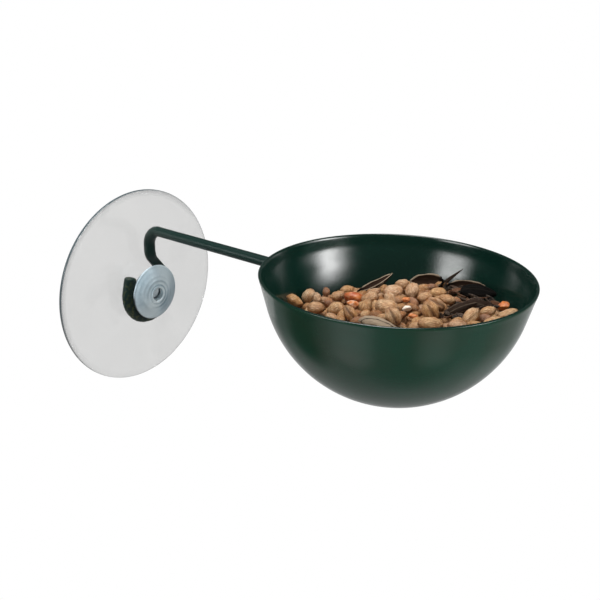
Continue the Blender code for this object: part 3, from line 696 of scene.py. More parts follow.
def cup_profile(cup):
    """(radius, distance from the pane) from the hole's floor over head, neck and disc to the dish."""
    edge = cup.head_edge / 2
    dome_foot = cup.head_radius - edge
    dome_top = cup.head_back + cup.head_edge + cup.head_crown
    floor = dome_top + cup.nose_rise - cup.hole_depth
    corner = cup.hole_radius * 0.8
    points = [(0.0, floor), (corner, floor)]
    points += arc((corner, floor + cup.hole_round), cup.hole_round, -math.pi / 2, 0, 4)
    nose_foot = dome_top - cup.nose_sink
    points += stretch((cup.hole_radius, points[-1][1]), (cup.hole_radius, nose_foot), 9)
    nose_half = (cup.nose_radius - cup.hole_radius) / 2
    points += arc((cup.hole_radius + nose_half, nose_foot), nose_half, math.pi, 0, 10,
                  cup.nose_rise + cup.nose_sink)
    for s in shares(48):
        radius = cup.nose_radius + (dome_foot - cup.nose_radius) * s
        ripple = cup.ripple * math.sin(s * 24.0) * math.exp(-s * 3.2)
        points.append((radius, dome_top - cup.head_crown * s ** 2 + ripple))
    points += arc((dome_foot, cup.head_back + edge), edge, math.pi / 2, -math.pi / 2, 12)
    fillet = cup.neck_fillet
    foot = cup.neck_radius + fillet
    points += arc((foot, cup.head_back - fillet), fillet, math.pi / 2, math.pi, 6)
    points += arc((foot, cup.disc_rise + fillet), fillet, math.pi, math.pi * 1.5, 6)
    lip = cup.lip_radius - cup.lip_round
    for s in shares(90):
        radius = foot + (lip - foot) * s
        rise = cup.lip_thickness + (cup.disc_rise - cup.lip_thickness) * (1 - s ** 1.5)
        rings = 0.12 * MM * hump(radius, cup.mould_ring, 0.9 * MM)
        rings += 0.04 * MM * hump(radius, cup.lip_radius - 1.9 * MM, 0.5 * MM)
        points.append((radius, rise + rings))
    points += arc((lip, cup.lip_thickness - cup.lip_round), cup.lip_round, math.pi / 2, 0, 4)
    points += arc((lip, cup.lip_round / 2), cup.lip_round, 0, -math.pi / 2, 3)[:-1]
    points.append((lip, 0.0))
    seal = cup.lip_radius - cup.seal_width
    points += [(seal * s, cup.dish_depth * (1 - s ** 2)) for s in (1.0, *shares(40)[::-1], 0.0)]
    return [(radius, max(0.0, height)) for radius, height in points]


class FEEDER_OT_suction_cup(bpy.types.Operator):
    """Turn the clear suction cup and let its soft nose sag"""

    bl_idname = "feeder.suction_cup"
    bl_label = "Suction Cup"

    def execute(self, context):
        cup = looks("cup")
        points, faces = lathe(cup_profile(cup), CUP_STEPS)
        points = points[:, [2, 0, 1]]
        out, across, up = points.T.copy()
        radius = np.hypot(across, up)
        inner = radius < cup.head_radius + 0.1 * MM
        nose = cup.head_back + cup.head_edge + cup.head_crown
        loaded = smooth(out, cup.head_back - 0.4 * MM, cup.head_back) * inner
        soft = smooth(out, cup.head_back, nose) * inner
        points[:, 1] -= cup.droop * loaded + cup.swing * soft
        points[:, 2] -= cup.droop * loaded + cup.sag * soft
        add_piece("suction_cup_moulding", points, faces, clear_pvc(), "cup", ["suction_cup"],
                  self.tints(cup, out, radius, np.arctan2(up, across) % math.tau, nose))
        return {"FINISHED"}

    def tints(self, cup, out, radius, angle, nose):
        """Where the painted shade of the cut lip and of the hole, the head's edge, the painted shade of the
        wire behind it and the painted glint ring show.
        """
        # The lip's painted shade, darkest round one side of the disc
        shaded = smooth(np.cos(angle - LIP_PAINTED_SHADE), -0.5, 0.8)
        lip = smooth(radius, cup.lip_radius - 0.40 * MM, cup.lip_radius - 0.15 * MM)
        # Painted shade deep in the blind hole
        hole = smooth(nose - out, 1.8 * MM, 2.8 * MM) * (radius < cup.hole_radius + 0.01 * MM)
        edge_middle = cup.head_back + cup.head_edge / 2
        edge = smooth(radius, cup.head_radius - 0.5 * MM, cup.head_radius - 0.2 * MM)
        edge *= np.abs(out - edge_middle) < cup.head_edge
        wire_end = looks("wire").end_angle
        # Painted glint ring round the blind hole
        ring = hump(radius, cup.glint_radius, 0.5 * MM) * (out > cup.head_back + cup.head_edge)
        # The wire's painted shade lies on the back half of the head's edge
        return {"lip": lip * (0.15 + 0.85 * shaded), "hole": hole * (out > cup.head_back), "edge": edge,
                "back": edge * smooth(angle, wire_end, wire_end + 0.3), "ring": ring}


def wire_route(wire):
    """Points of the wire's centre line, from the cut end round the loop to the bowl."""
    hook_x = ARM_BOX[0].x + wire.diameter / 2
    rise = ARM_BOX[1].z - wire.diameter / 2
    off = wire.loop_radius - wire.seat_radius
    centre = (-off * math.cos(wire.seat_angle), -off * math.sin(wire.seat_angle))
    loop = arc(centre, wire.loop_radius, wire.end_angle, math.tau + wire.jog_angle, 110)
    cut_end = (loop[0][0] + wire.tail * math.sin(wire.end_angle),
               loop[0][1] - wire.tail * math.cos(wire.end_angle))
    jog_side = wire.jog_radius * (1 - math.cos(wire.jog_angle))
    jog_run = (loop[-1][0] - jog_side) / math.sin(wire.jog_angle)
    jog_height = loop[-1][1] + jog_run * math.cos(wire.jog_angle)
    jog_middle = (wire.jog_radius, jog_height + wire.jog_radius * math.sin(wire.jog_angle))
    jog = arc(jog_middle, wire.jog_radius, math.pi + wire.jog_angle, math.pi, 14)
    hook = [cut_end, *stretch(cut_end, loop[0], 12), *loop, *stretch(loop[-1], jog[0], 8), *jog]
    bend = arc((hook_x + wire.bend_radius, rise - wire.bend_radius), wire.bend_radius,
               math.pi, math.pi / 2, 22)
    end = (ARM_BOX[1].x - wire.diameter / 4, rise)
    arm = [*stretch((hook_x, jog[-1][1]), bend[0], 10), *bend, *stretch(bend[-1], end, 60), end]
    return np.array([(hook_x, y, z) for y, z in hook] + [(x, 0.0, z) for x, z in arm])


def sweep(route, radius, sides, bulge):
    """Closed tube along a route; bulge gives each ring's and side's extra radius."""
    tangents = np.gradient(route, axis=0)
    tangents /= np.linalg.norm(tangents, axis=1)[:, None]
    normal = np.array([1.0, 0.0, 0.0])
    points = []
    for i, (place, tangent) in enumerate(zip(route, tangents)):
        normal = normal - tangent * (normal @ tangent)
        normal /= np.linalg.norm(normal)
        other = np.cross(tangent, normal)
        for j in range(sides):
            angle = math.tau * j / sides
            out = normal * math.cos(angle) + other * math.sin(angle)
            points.append(place + out * (radius + bulge(i, place, out)))
    rings = number_rings(len(route), sides)
    faces = join_rings(rings)
    for i, way in ((0, -1), (len(route) - 1, 1)):
        cap = [rings[i]]
        for scale, push in ROUND_END:
            middle = route[i] + tangents[i] * way * radius * push
            cap.append(list(range(len(points), len(points) + sides)))
            points += [middle + (points[corner] - route[i]) * scale for corner in rings[i]]
        faces += join_rings(cap) + [cap[-1]]
    return np.array(points), faces


class FEEDER_OT_wire_arm(bpy.types.Operator):
    """Bend the coated wire: open loop, jog, upright and arm"""

    bl_idname = "feeder.wire_arm"
    bl_label = "Wire Arm"

    def execute(self, context):
        wire = looks("wire")
        route = wire_route(wire)
        lengths = np.concatenate([[0.0], np.cumsum(np.linalg.norm(np.diff(route, axis=0), axis=1))])
        coarse = 1 - smooth(lengths, wire.rough_stretch, wire.smooth_start)
        hook_front = ARM_BOX[0].x + wire.diameter
        head_clear = looks("cup").head_radius + 0.2 * MM

        def bulge(i, place, out):
            """How far the coat stands out: lumps and pool at the loop, sleeve on the upright."""
            spot = Vector(place + out * 2 * MM)
            lump = noise.fractal(spot * 900.0, 0.6, 2.0, 3)
            fine = noise.noise(spot * 260.0)
            from_axis = np.hypot(*place[1:])
            inward = max(0.0, -(out[1:] @ place[1:]) / max(from_axis, MM))
            inward *= place[1] < 0 and place[0] < hook_front
            upright = smooth(from_axis, head_clear, head_clear + 4 * MM)
            upright *= 1 - smooth(place[0], hook_front, hook_front + 6 * MM)
            lumpy = wire.lump * max(-0.35, min(1.0, 0.35 + 0.75 * lump)) * (1 - 0.5 * max(0.0, out[0]))
            sleeve = wire.sleeve * upright * (0.43 + 0.57 * out[0])
            return coarse[i] * (lumpy + wire.pool * inward) + sleeve + 0.02 * MM * fine

        points, faces = sweep(route, wire.diameter / 2, WIRE_SIDES, bulge)
        caps = [coarse[0]] * len(ROUND_END) + [coarse[-1]] * len(ROUND_END)
        rough = np.repeat(np.concatenate([coarse, caps]), WIRE_SIDES)
        add_piece("wire_arm", points, faces, green_coat(), "feeder", ["hook_arm"],
                  {"rough": rough})
        return {"FINISHED"}


def bowl_shape(bowl):
    """Height of the round part's centre over the rim, and the angle where the flare leaves it."""
    centre = math.sqrt(bowl.round_radius ** 2 - bowl.base_radius ** 2) - bowl.depth
    reach = math.hypot(bowl.rim_radius, centre)
    flare = -math.atan2(centre, bowl.rim_radius) - math.acos(bowl.round_radius / reach)
    return centre, flare


def wall_radius(bowl, height):
    """Outer radius of the bowl at a height below the rim."""
    centre, flare = bowl_shape(bowl)
    touch = bowl.round_radius * math.sin(flare) + centre
    if height >= touch:
        return bowl.round_radius * math.cos(flare) + (height - touch) * math.tan(-flare)
    return math.sqrt(max(0.0, bowl.round_radius ** 2 - (height - centre) ** 2))


def bowl_side(bowl, inset):
    """Rim, and the wall from just under it to the base's edge, both moved in from the outside."""
    centre, flare = bowl_shape(bowl)
    radius = bowl.round_radius - inset
    floor = inset - bowl.depth
    base_angle = -math.acos(math.sqrt(radius ** 2 - (floor - centre) ** 2) / radius)
    rim = (bowl.rim_radius - inset * math.cos(flare), -inset * math.sin(flare))
    curve = arc((0.0, centre), radius, flare, base_angle, 56)
    return rim, stretch(rim, curve[0], 14) + curve


class FEEDER_OT_bowl(bpy.types.Operator):
    """Press the enamelled bowl with its rounded rim and small flat base"""

    bl_idname = "feeder.bowl"
    bl_label = "Bowl"

    def execute(self, context):
        bowl = looks("bowl")
        outer_rim, outside = bowl_side(bowl, 0.0)
        inner_rim, inside = bowl_side(bowl, bowl.sheet)
        middle = [(a + b) / 2 for a, b in zip(outer_rim, inner_rim)]
        flare = bowl_shape(bowl)[1]
        edge = arc(middle, bowl.sheet / 2, flare + math.pi, flare, 10)
        floor = [(bowl.base_radius * k, bowl.sheet - bowl.depth) for k in (0.0, 0.3, 0.6, 0.85)]
        foot = [(bowl.base_radius * k, -bowl.depth) for k in (0.9, 0.6, 0.3, 0.0)]
        inner = floor + inside[::-1]
        points, faces = lathe(inner + edge + outside + foot, BOWL_STEPS)
        inner_count = (len(inner) - 1) * BOWL_STEPS + 1
        over_edge = np.repeat(np.linspace(1.0, 0.0, len(edge)), BOWL_STEPS)
        within = np.zeros(len(points))
        within[:inner_count] = 1.0
        within[inner_count:inner_count + len(over_edge)] = over_edge
        wave = np.array([noise.noise(Vector(p) * 42.0) for p in points])
        below = np.maximum(-points[:, 2], 0.0)
        beaded = hump(below, bowl.bead_depth, bowl.bead_width) * (1 - within)
        shift = bowl.dent * wave - self.thickening(bowl, below) * within + bowl.bead * beaded
        outward = np.hypot(points[:, 0], points[:, 1])
        points[:, :2] *= (1 + shift / np.maximum(outward, 10 * MM))[:, None]
        points += np.array((BOWL_AXIS, 0.0, BOWL_BOX[0].z + bowl.depth))
        add_piece("bowl_pressing", points, faces, green_enamel(), "feeder", ["bowl"],
                  {"inside": smooth(within, 0.0, 0.25)})
        return {"FINISHED"}

    def thickening(self, bowl, below):
        """How much the enamel thickens the wall inwards at depths below the rim, from how it leans."""
        depths = np.linspace(0.0, bowl.depth, 800)
        slope = (bowl.wall_lean * smooth(depths, bowl.rim_band, 1.8 * bowl.rim_band)
                 * (1 - smooth(depths, 0.75 * bowl.wall_band, 1.25 * bowl.wall_band))
                 - bowl.rim_lean * (1 - smooth(depths, 0.7 * bowl.rim_band, 1.3 * bowl.rim_band)))
        grows = np.cumsum(slope) * (depths[1] - depths[0])
        return np.interp(below, depths, grows - grows.min() - bowl.waist)


class FEEDER_OT_weld(bpy.types.Operator):
    """Lay the coated weld bead between arm and bowl"""

    bl_idname = "feeder.weld"
    bl_label = "Weld"

    def execute(self, context):
        wire, bowl = looks("wire"), looks("bowl")
        rim_z = BOWL_BOX[0].z + bowl.depth
        rise = ARM_BOX[1].z - wire.diameter / 2
        bore = wire.diameter / 2 + 0.05 * MM
        steps = (0.0, *shares(12), 1.0)
        section = [(s, 1.0) for s in steps] + [(s, 0.0) for s in steps[-2::-1]]
        points = []
        for j in range(WELD_SIDES):
            angle = math.tau * j / WELD_SIDES
            uneven = 1 + 0.16 * noise.noise(Vector((math.cos(angle), math.sin(angle), 3.1)) * 1.6)
            for s, front in section:
                radius = bore + wire.weld_leg * uneven * s
                y, z = radius * math.cos(angle), rise + radius * math.sin(angle)
                wall = BOWL_AXIS - math.sqrt(wall_radius(bowl, z - rim_z) ** 2 - y * y)
                height = front * wire.weld_length * (1 - math.sqrt(1 - (1 - s) ** 2))
                lumpy = 1 + 0.25 * noise.noise(Vector((y, z, s * 2 * MM)) * 700.0)
                points.append((wall - 0.06 * MM - height * lumpy, y, z))
        rings = number_rings(WELD_SIDES, len(section))
        add_piece("weld_seam", points, join_rings(rings + rings[:1]), bpy.data.materials["green_coat"],
                  "feeder", ["weld_bead"], {"rough": np.full(len(points), 0.5)})
        return {"FINISHED"}


def node_frame(name):
    """Middle of a solid, its long, wide and thin axes as rows, and its size along them."""
    corners = np.unique(np.array([v.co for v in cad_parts[name].data.vertices]).round(6), axis=0)
    axes = np.linalg.svd(corners - corners.mean(0), full_matrices=False)[2]
    flat = corners @ axes.T
    low, high = flat.min(0), flat.max(0)
    middle = (low + high) / 2 @ axes + seen(*ROLLED.get(name, (0.0, 0.0))) * MM
    open_side = -1.0 if (low[2] + high[2]) / 2 >= flat[:, 2].mean() else 1.0
    axes[0] *= 1.0 if axes[0][0] > 0 else -1.0
    axes[2] *= open_side
    axes[1] = np.cross(axes[2], axes[0])
    return middle, axes, high - low


def seen(right, up, near=0.0):
    """Direction given as the viewer sees it."""
    return VIEW_RIGHT * right + VIEW_UP * up + TO_VIEWER * near


def seen_at(degrees):
    """Direction turned from the viewer's right, as the viewer sees it."""
    return seen(math.cos(math.radians(degrees)), math.sin(math.radians(degrees)))


def facing(along, way):
    """Axes of a seed along one direction whose top looks one way."""
    top = np.asarray(way) - along * (along @ np.asarray(way))
    top /= np.linalg.norm(top)
    return np.stack([along, np.cross(top, along), top])


def ball(sides, rings):
    """Unit ball along X: points and faces."""
    profile = [(math.sin(math.pi * i / rings), math.cos(math.pi * i / rings)) for i in range(rings + 1)]
    points, faces = lathe(profile, sides)
    return points[:, [2, 0, 1]], faces


def wheat_shape(points):
    """Plump wheat grain of unit half-size and how deep in its crease each point lies."""
    x, y, z = points.T
    girth = np.hypot(y, z)
    angle = np.arctan2(y, z)
    swell = np.where(x > 0, 1 - 0.12 * x ** 2, 1 - 0.02 * x ** 2)
    groove = hump(angle, 0.0, 0.26) * smooth(girth, 0.25, 0.8)
    cheek = 1 + 0.06 * hump(np.abs(angle), 0.8, 0.4)
    squash = girth ** 0.88 * swell * cheek * (1 - 0.30 * groove)
    factor = np.where(girth > 1e-6, squash / np.maximum(girth, 1e-6), 1.0)
    tip = 0.05 * hump(x, -1.0, 0.12)
    return np.stack([x - tip, y * factor, z * factor], 1), groove


def wrinkled(points, seed):
    """Shape with the uneven skin of a dry seed."""
    shift = Vector((seed * 7.3, seed * 3.1, 0.0))
    lumps = [0.11 * noise.noise(Vector(p) * 1.5 + shift)
             + 0.075 * noise.fractal(Vector((p[0] * 1.8, p[1] * 4.2, p[2] * 4.2)) + shift, 0.7, 2.0, 3)
             for p in points]
    return points * (1 + np.array(lumps))[:, None]


def lay(points, size, middle, axes):
    """Move a unit shape to a seed's place."""
    return (points * np.asarray(size) / 2) @ axes + middle


def apart(points, place):
    """Coordinates for a seed's skin, with a place of its own so that no two skins are alike."""
    return points + np.array((3.0 * place, 0.0, 0.0))


class SeedHeap:
    """Seeds of one kind, gathered into one mesh with the values that their skin is coloured by."""

    def __init__(self):
        self.points, self.faces, self.values = [], [], {}
        self.count = 0

    def add(self, points, faces, **values):
        """Add one seed; each value is a number for all its points or one for each."""
        self.points.append(points)
        self.faces += [[corner + self.count for corner in face] for face in faces]
        self.count += len(points)
        for key, value in values.items():
            column = np.full(len(points), value) if np.isscalar(value) else value
            self.values.setdefault(key, []).append(column)

    def finish(self, name, material, nodes):
        """Put the gathered seeds in place of their solids."""
        values = {key: np.concatenate(columns) for key, columns in self.values.items()}
        return add_piece(name, np.concatenate(self.points), self.faces, material, "seed_mix", nodes,
                         values)


class FEEDER_OT_wheat(bpy.types.Operator):
    """Shape the loose wheat grains"""

    bl_idname = "feeder.wheat"
    bl_label = "Wheat Grains"

    def execute(self, context):
        seeds = looks("seeds")
        dice = np.random.default_rng(seeds.seed)
        unit, faces = ball(30, 22)
        shape, groove = wheat_shape(unit)
        heap = SeedHeap()
        for i, name in enumerate(WHEAT_NODES, 1):
            middle, axes, size = node_frame(name)
            chance = dice.uniform(size=3)
            along = axes[0]
            long, wide, tone = np.array((0.8, 0.8, 0.2)) + np.array((0.2, 0.25, 0.7)) * chance
            if i in GRAIN_KINDS:
                degrees, long, wide, tone = GRAIN_KINDS[i]
                along = seen_at(degrees)
            along = along + TO_VIEWER * dice.uniform(-0.3, 0.3)
            along /= np.linalg.norm(along)
            way = TO_VIEWER if i in CREASED else np.array((0.3, 0.5, -1.0))
            axes = facing(along, way + dice.normal(0.0, 0.15, 3))
            grain = wrinkled(shape, i)
            scale = seeds.plump * np.array((long, wide, wide))
            heap.add(lay(grain, size * scale, middle, axes), faces, tone=tone, crease=groove,
                     grain=apart(grain, i), along=unit[:, 0])
        heap.finish("wheat_grains", wheat_skin(), WHEAT_NODES)
        return {"FINISHED"}


class FEEDER_OT_maize(bpy.types.Operator):
    """Break the pieces of maize"""

    bl_idname = "feeder.maize"
    bl_label = "Maize Pieces"

    def execute(self, context):
        dice = np.random.default_rng(looks("seeds").seed + 1)
        unit, faces = ball(24, 18)
        axes = facing(VIEW_RIGHT, (0.0, 0.0, 1.0))
        heap = SeedHeap()
        for i, (name, (tone, long, wide)) in enumerate(zip(MAIZE_NODES, MAIZE_KINDS)):
            middle, _, size = node_frame(name)
            shape = np.sign(unit) * np.abs(unit) ** 0.85
            cuts = dice.normal(size=(6, 3))
            for cut in cuts / np.linalg.norm(cuts, axis=1)[:, None]:
                over = np.maximum(shape @ cut - dice.uniform(0.60, 0.85), 0.0)
                shape = shape - over[:, None] * cut
            shape = wrinkled(shape, 40 + i)
            heap.add(lay(shape, size * (long, wide, wide), middle, axes), faces, tone=tone,
                     grain=apart(shape, i))
        heap.finish("maize_pieces", maize_skin(), MAIZE_NODES)
        return {"FINISHED"}


def seed_girth(x):
    """Girth of a sunflower seed along its length, blunt at -1 and pointed at 1."""
    blunt = (1 - x) / 2
    return np.sqrt(np.maximum(0.0, 1 - x * x)) * (0.62 + 0.66 * blunt - 0.28 * blunt ** 2)


def shell_half(length_steps, girth_steps, wall):
    """Open half shell, pointed at +X and open to +Z: points, faces, and which lie inside and on the edge."""
    points, inside, edge, faces = [], [], [], []
    for layer in (0, 1):
        for i in range(length_steps + 1):
            x = -math.cos(math.pi * i / length_steps)
            girth = max(0.02, float(seed_girth(x)) - wall * layer)
            for j in range(girth_steps + 1):
                angle = math.pi * (1 + j / girth_steps)
                ridged = girth * (1 + 0.035 * math.cos(angle * 18) * (1 - layer))
                points.append((x * (1 - 0.03 * layer), ridged * math.cos(angle),
                               0.5 + ridged * math.sin(angle)))
                inside.append(float(layer))
                edge.append(0.65 if j in (0, girth_steps) else 0.0)
    row = girth_steps + 1
    count = (length_steps + 1) * row
    for layer in (0, 1):
        for i in range(length_steps):
            for j in range(girth_steps):
                a = layer * count + i * row + j
                faces.append([a, a + 1, a + row + 1, a + row])
    sides = [(i * row + j, row) for i in range(length_steps) for j in (0, girth_steps)]
    ends = [(i * row + j, 1) for i in (0, length_steps) for j in range(girth_steps)]
    faces += [[a, a + step, count + a + step, count + a] for a, step in sides + ends]
    return np.array(points), faces, np.array(inside), np.array(edge)


class FEEDER_OT_sunflower(bpy.types.Operator):
    """Shape the opened sunflower hulls, the whole seed and the sliver of husk"""

    bl_idname = "feeder.sunflower"
    bl_label = "Sunflower Hulls"

    def execute(self, context):
        shell = sunflower_shell()
        unit, faces, inside, edge = shell_half(28, 24, 0.14)
        tip = smooth(unit[:, 0], -0.88, -0.62)
        heap = SeedHeap()
        for i, (name, kind) in enumerate(zip(HULL_NODES, HULL_KINDS)):
            degrees, opens, stripe, long, girth, brown, pale = kind
            middle, _, size = node_frame(name)
            bent = unit.copy()
            bent[:, 2] += 0.12 * unit[:, 0] ** 2 - 0.05
            bent[:, 1] += 0.10 * math.sin(i * 2.1) * unit[:, 0] ** 2
            axes = facing(seen_at(degrees), seen(*opens))
            heap.add(lay(wrinkled(bent, 60 + i), size * (long, girth, 2 * girth), middle, axes), faces,
                     tone=stripe * (1 - inside), grain=apart(unit, i),
                     inside=np.maximum(inside, brown) * tip, edge=edge * tip * pale)
        heap.finish("sunflower_hulls", shell, HULL_NODES)
        self.add_whole_seed(shell)
        self.add_sliver(shell)
        return {"FINISHED"}

    def add_whole_seed(self, shell):
        """The seed that is still closed, faintly ribbed along its length."""
        unit, faces = ball(56, 28)
        x, y, z = unit.T
        width = seed_girth(x) / np.sqrt(np.maximum(1 - x * x, 1e-6))
        ridge = 1 + 0.03 * np.cos(np.arctan2(z, y) * 14)
        shape = np.stack([x, y * width * ridge, z * width * (1 - 0.15 * y * y) * ridge], 1)
        middle, _, size = node_frame("sunflower_seed_01")
        axes = facing(seen(1.0, -0.03), seen(0.0, 0.55, 0.83))
        heap = SeedHeap()
        heap.add(lay(shape, size * (1.04, 1.50, 1.50), middle, axes), faces, tone=0.05,
                 grain=apart(unit, 10), inside=0.0, edge=0.0)
        heap.finish("sunflower_seed", shell, ["sunflower_seed_01"])

    def add_sliver(self, shell):
        """The thin sliver of husk that stands up, bent and tapered."""
        unit, faces = ball(14, 20)
        x, y, z = unit.T
        taper = np.sqrt((1 - x) / 2) * 1.3
        shape = np.stack([x, y * taper - 0.35 * x * x + 0.2, z * taper], 1)
        middle, _, size = node_frame("husk_sliver_01")
        axes = facing(seen(0.74, 0.67), seen(0.2, 0.2, 1.0))
        heap = SeedHeap()
        heap.add(lay(shape, size * (1.6, 1.15, 0.9), middle, axes), faces, tone=0.15,
                 grain=apart(unit, 11), inside=0.5, edge=0.0)
        heap.finish("husk_sliver", shell, ["husk_sliver_01"])


# Inputs of the scatter tree by their kind
SCATTER_INPUTS = (
    ("Geometry", ("Surface",)),
    ("Object", ("Shape", "Loose", "Wall", "Husks")),
    ("Float", ("Spacing", "Clearance", "Reach", "Wall Clearance", "Husks From", "Husks To", "Lift",
               "Slope From", "Slope To")),
    ("Vector", ("Turn",)),
    ("Int", ("Seed",)),
    ("Material", ("Material",)),
)


def scatter_tree():
    """Node tree that lays copies of a shape on a surface, clear of other seeds and of the bowl."""
    group = bpy.data.node_groups.new("Scatter seed", "GeometryNodeTree")
    for kind, names in SCATTER_INPUTS:
        for name in names:
            group.interface.new_socket(name, in_out="INPUT", socket_type="NodeSocket" + kind)
    group.interface.new_socket("Seeds", in_out="OUTPUT", socket_type="NodeSocketGeometry")
    tree = NodeTree(group)
    given = tree.add("NodeGroupInput").outputs
    slope = tree.split(tree.add("GeometryNodeInputNormal").outputs[0])[2]
    wanted = tree.calc("MINIMUM", tree.calc("GREATER_THAN", slope, given["Slope From"]),
                       tree.calc("LESS_THAN", slope, given["Slope To"]))
    spread = tree.add("GeometryNodeDistributePointsOnFaces",
                      {"Mesh": given["Surface"], "Selection": wanted, "Distance Min": given["Spacing"],
                       "Density Max": MOST_SEEDS, "Seed": given["Seed"]},
                      distribute_method="POISSON").outputs
    loose, wall, husks = (distance_to(tree, given[name]) for name in ("Loose", "Wall", "Husks"))
    taken = 0.0
    for distance, test, limit in ((loose, "LESS_THAN", "Clearance"), (loose, "GREATER_THAN", "Reach"),
                                  (wall, "LESS_THAN", "Wall Clearance"), (husks, "LESS_THAN", "Husks From"),
                                  (husks, "GREATER_THAN", "Husks To")):
        taken = tree.calc("MAXIMUM", taken, tree.calc(test, distance, given[limit]))
    free = tree.add("GeometryNodeDeleteGeometry", {"Geometry": spread["Points"], "Selection": taken},
                    domain="POINT")
    lifted = tree.add("ShaderNodeVectorMath", {0: spread["Normal"], "Scale": given["Lift"]},
                      operation="SCALE")
    raised = tree.add("GeometryNodeSetPosition", {"Geometry": free.outputs[0], "Offset": lifted.outputs[0]})
    back = tree.vector("MULTIPLY", given["Turn"], (-1.0, -1.0, -1.0))
    spin = tree.add("FunctionNodeRandomValue", {0: back, 1: given["Turn"], "Seed": given["Seed"]},
                    data_type="FLOAT_VECTOR")
    euler = tree.add("FunctionNodeEulerToRotation", {0: spin.outputs[0]})
    turned = tree.add("FunctionNodeRotateRotation", {0: spread["Rotation"], 1: euler.outputs[0]},
                      rotation_space="LOCAL")
    grow = tree.add("FunctionNodeRandomValue",
                    {0: (0.80, 0.86, 0.86), 1: (1.06, 1.04, 1.04), "Seed": 3}, data_type="FLOAT_VECTOR")
    shape = tree.add("GeometryNodeObjectInfo", {"Object": given["Shape"]})
    copies = tree.add("GeometryNodeInstanceOnPoints",
                      {"Points": raised.outputs[0], "Instance": shape.outputs["Geometry"],
                       "Rotation": turned.outputs[0], "Scale": grow.outputs[0]})
    tone = tree.add("FunctionNodeRandomValue", {2: 0.0, 3: 0.75, "Seed": 5}, data_type="FLOAT")
    toned = tree.add("GeometryNodeStoreNamedAttribute",
                     {"Geometry": copies.outputs[0], "Name": "tone", "Value": tone.outputs[1]},
                     data_type="FLOAT", domain="INSTANCE")
    real = tree.add("GeometryNodeRealizeInstances", {0: toned.outputs[0]})
    dressed = tree.add("GeometryNodeSetMaterial",
                       {"Geometry": real.outputs[0], "Material": given["Material"]})
    tree.add("NodeGroupOutput", {0: dressed.outputs[0]})
    return group


def distance_to(tree, target):
    """Distance of each point to an object's surface."""
    info = tree.add("GeometryNodeObjectInfo", {"Object": target}, transform_space="RELATIVE")
    near = tree.add("GeometryNodeProximity", {0: info.outputs["Geometry"]}, target_element="FACES")
    return near.outputs["Distance"]


def scatter(name, surface, values):
    """Run the scatter tree on a surface mesh and return the result as a plain object."""
    tree = bpy.data.node_groups.get("Scatter seed") or scatter_tree()
    holder = add_object(name, surface)
    modifier = holder.modifiers.new("Scatter seed", "NODES")
    modifier.node_group = tree
    for item in tree.interface.items_tree:
        if item.in_out == "INPUT" and item.name in values:
            modifier[item.identifier] = values[item.name]
    bpy.context.view_layer.update()
    evaluated = holder.evaluated_get(bpy.context.evaluated_depsgraph_get())
    mesh = bpy.data.meshes.new_from_object(evaluated)
    holder.modifiers.remove(modifier)
    if not mesh.polygons:
        raise RuntimeError("nothing was scattered for " + name)
    holder.data = mesh
    mesh.name = name
    mesh.shade_smooth()
    return holder


def bed_surface(name):
    """Copy of the bed's solid as one welded skin."""
    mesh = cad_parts["seed_bed"].data.copy()
    mesh.name = name
    mesh.materials.clear()
    face_outwards(mesh, 0.01 * MM)
    return mesh


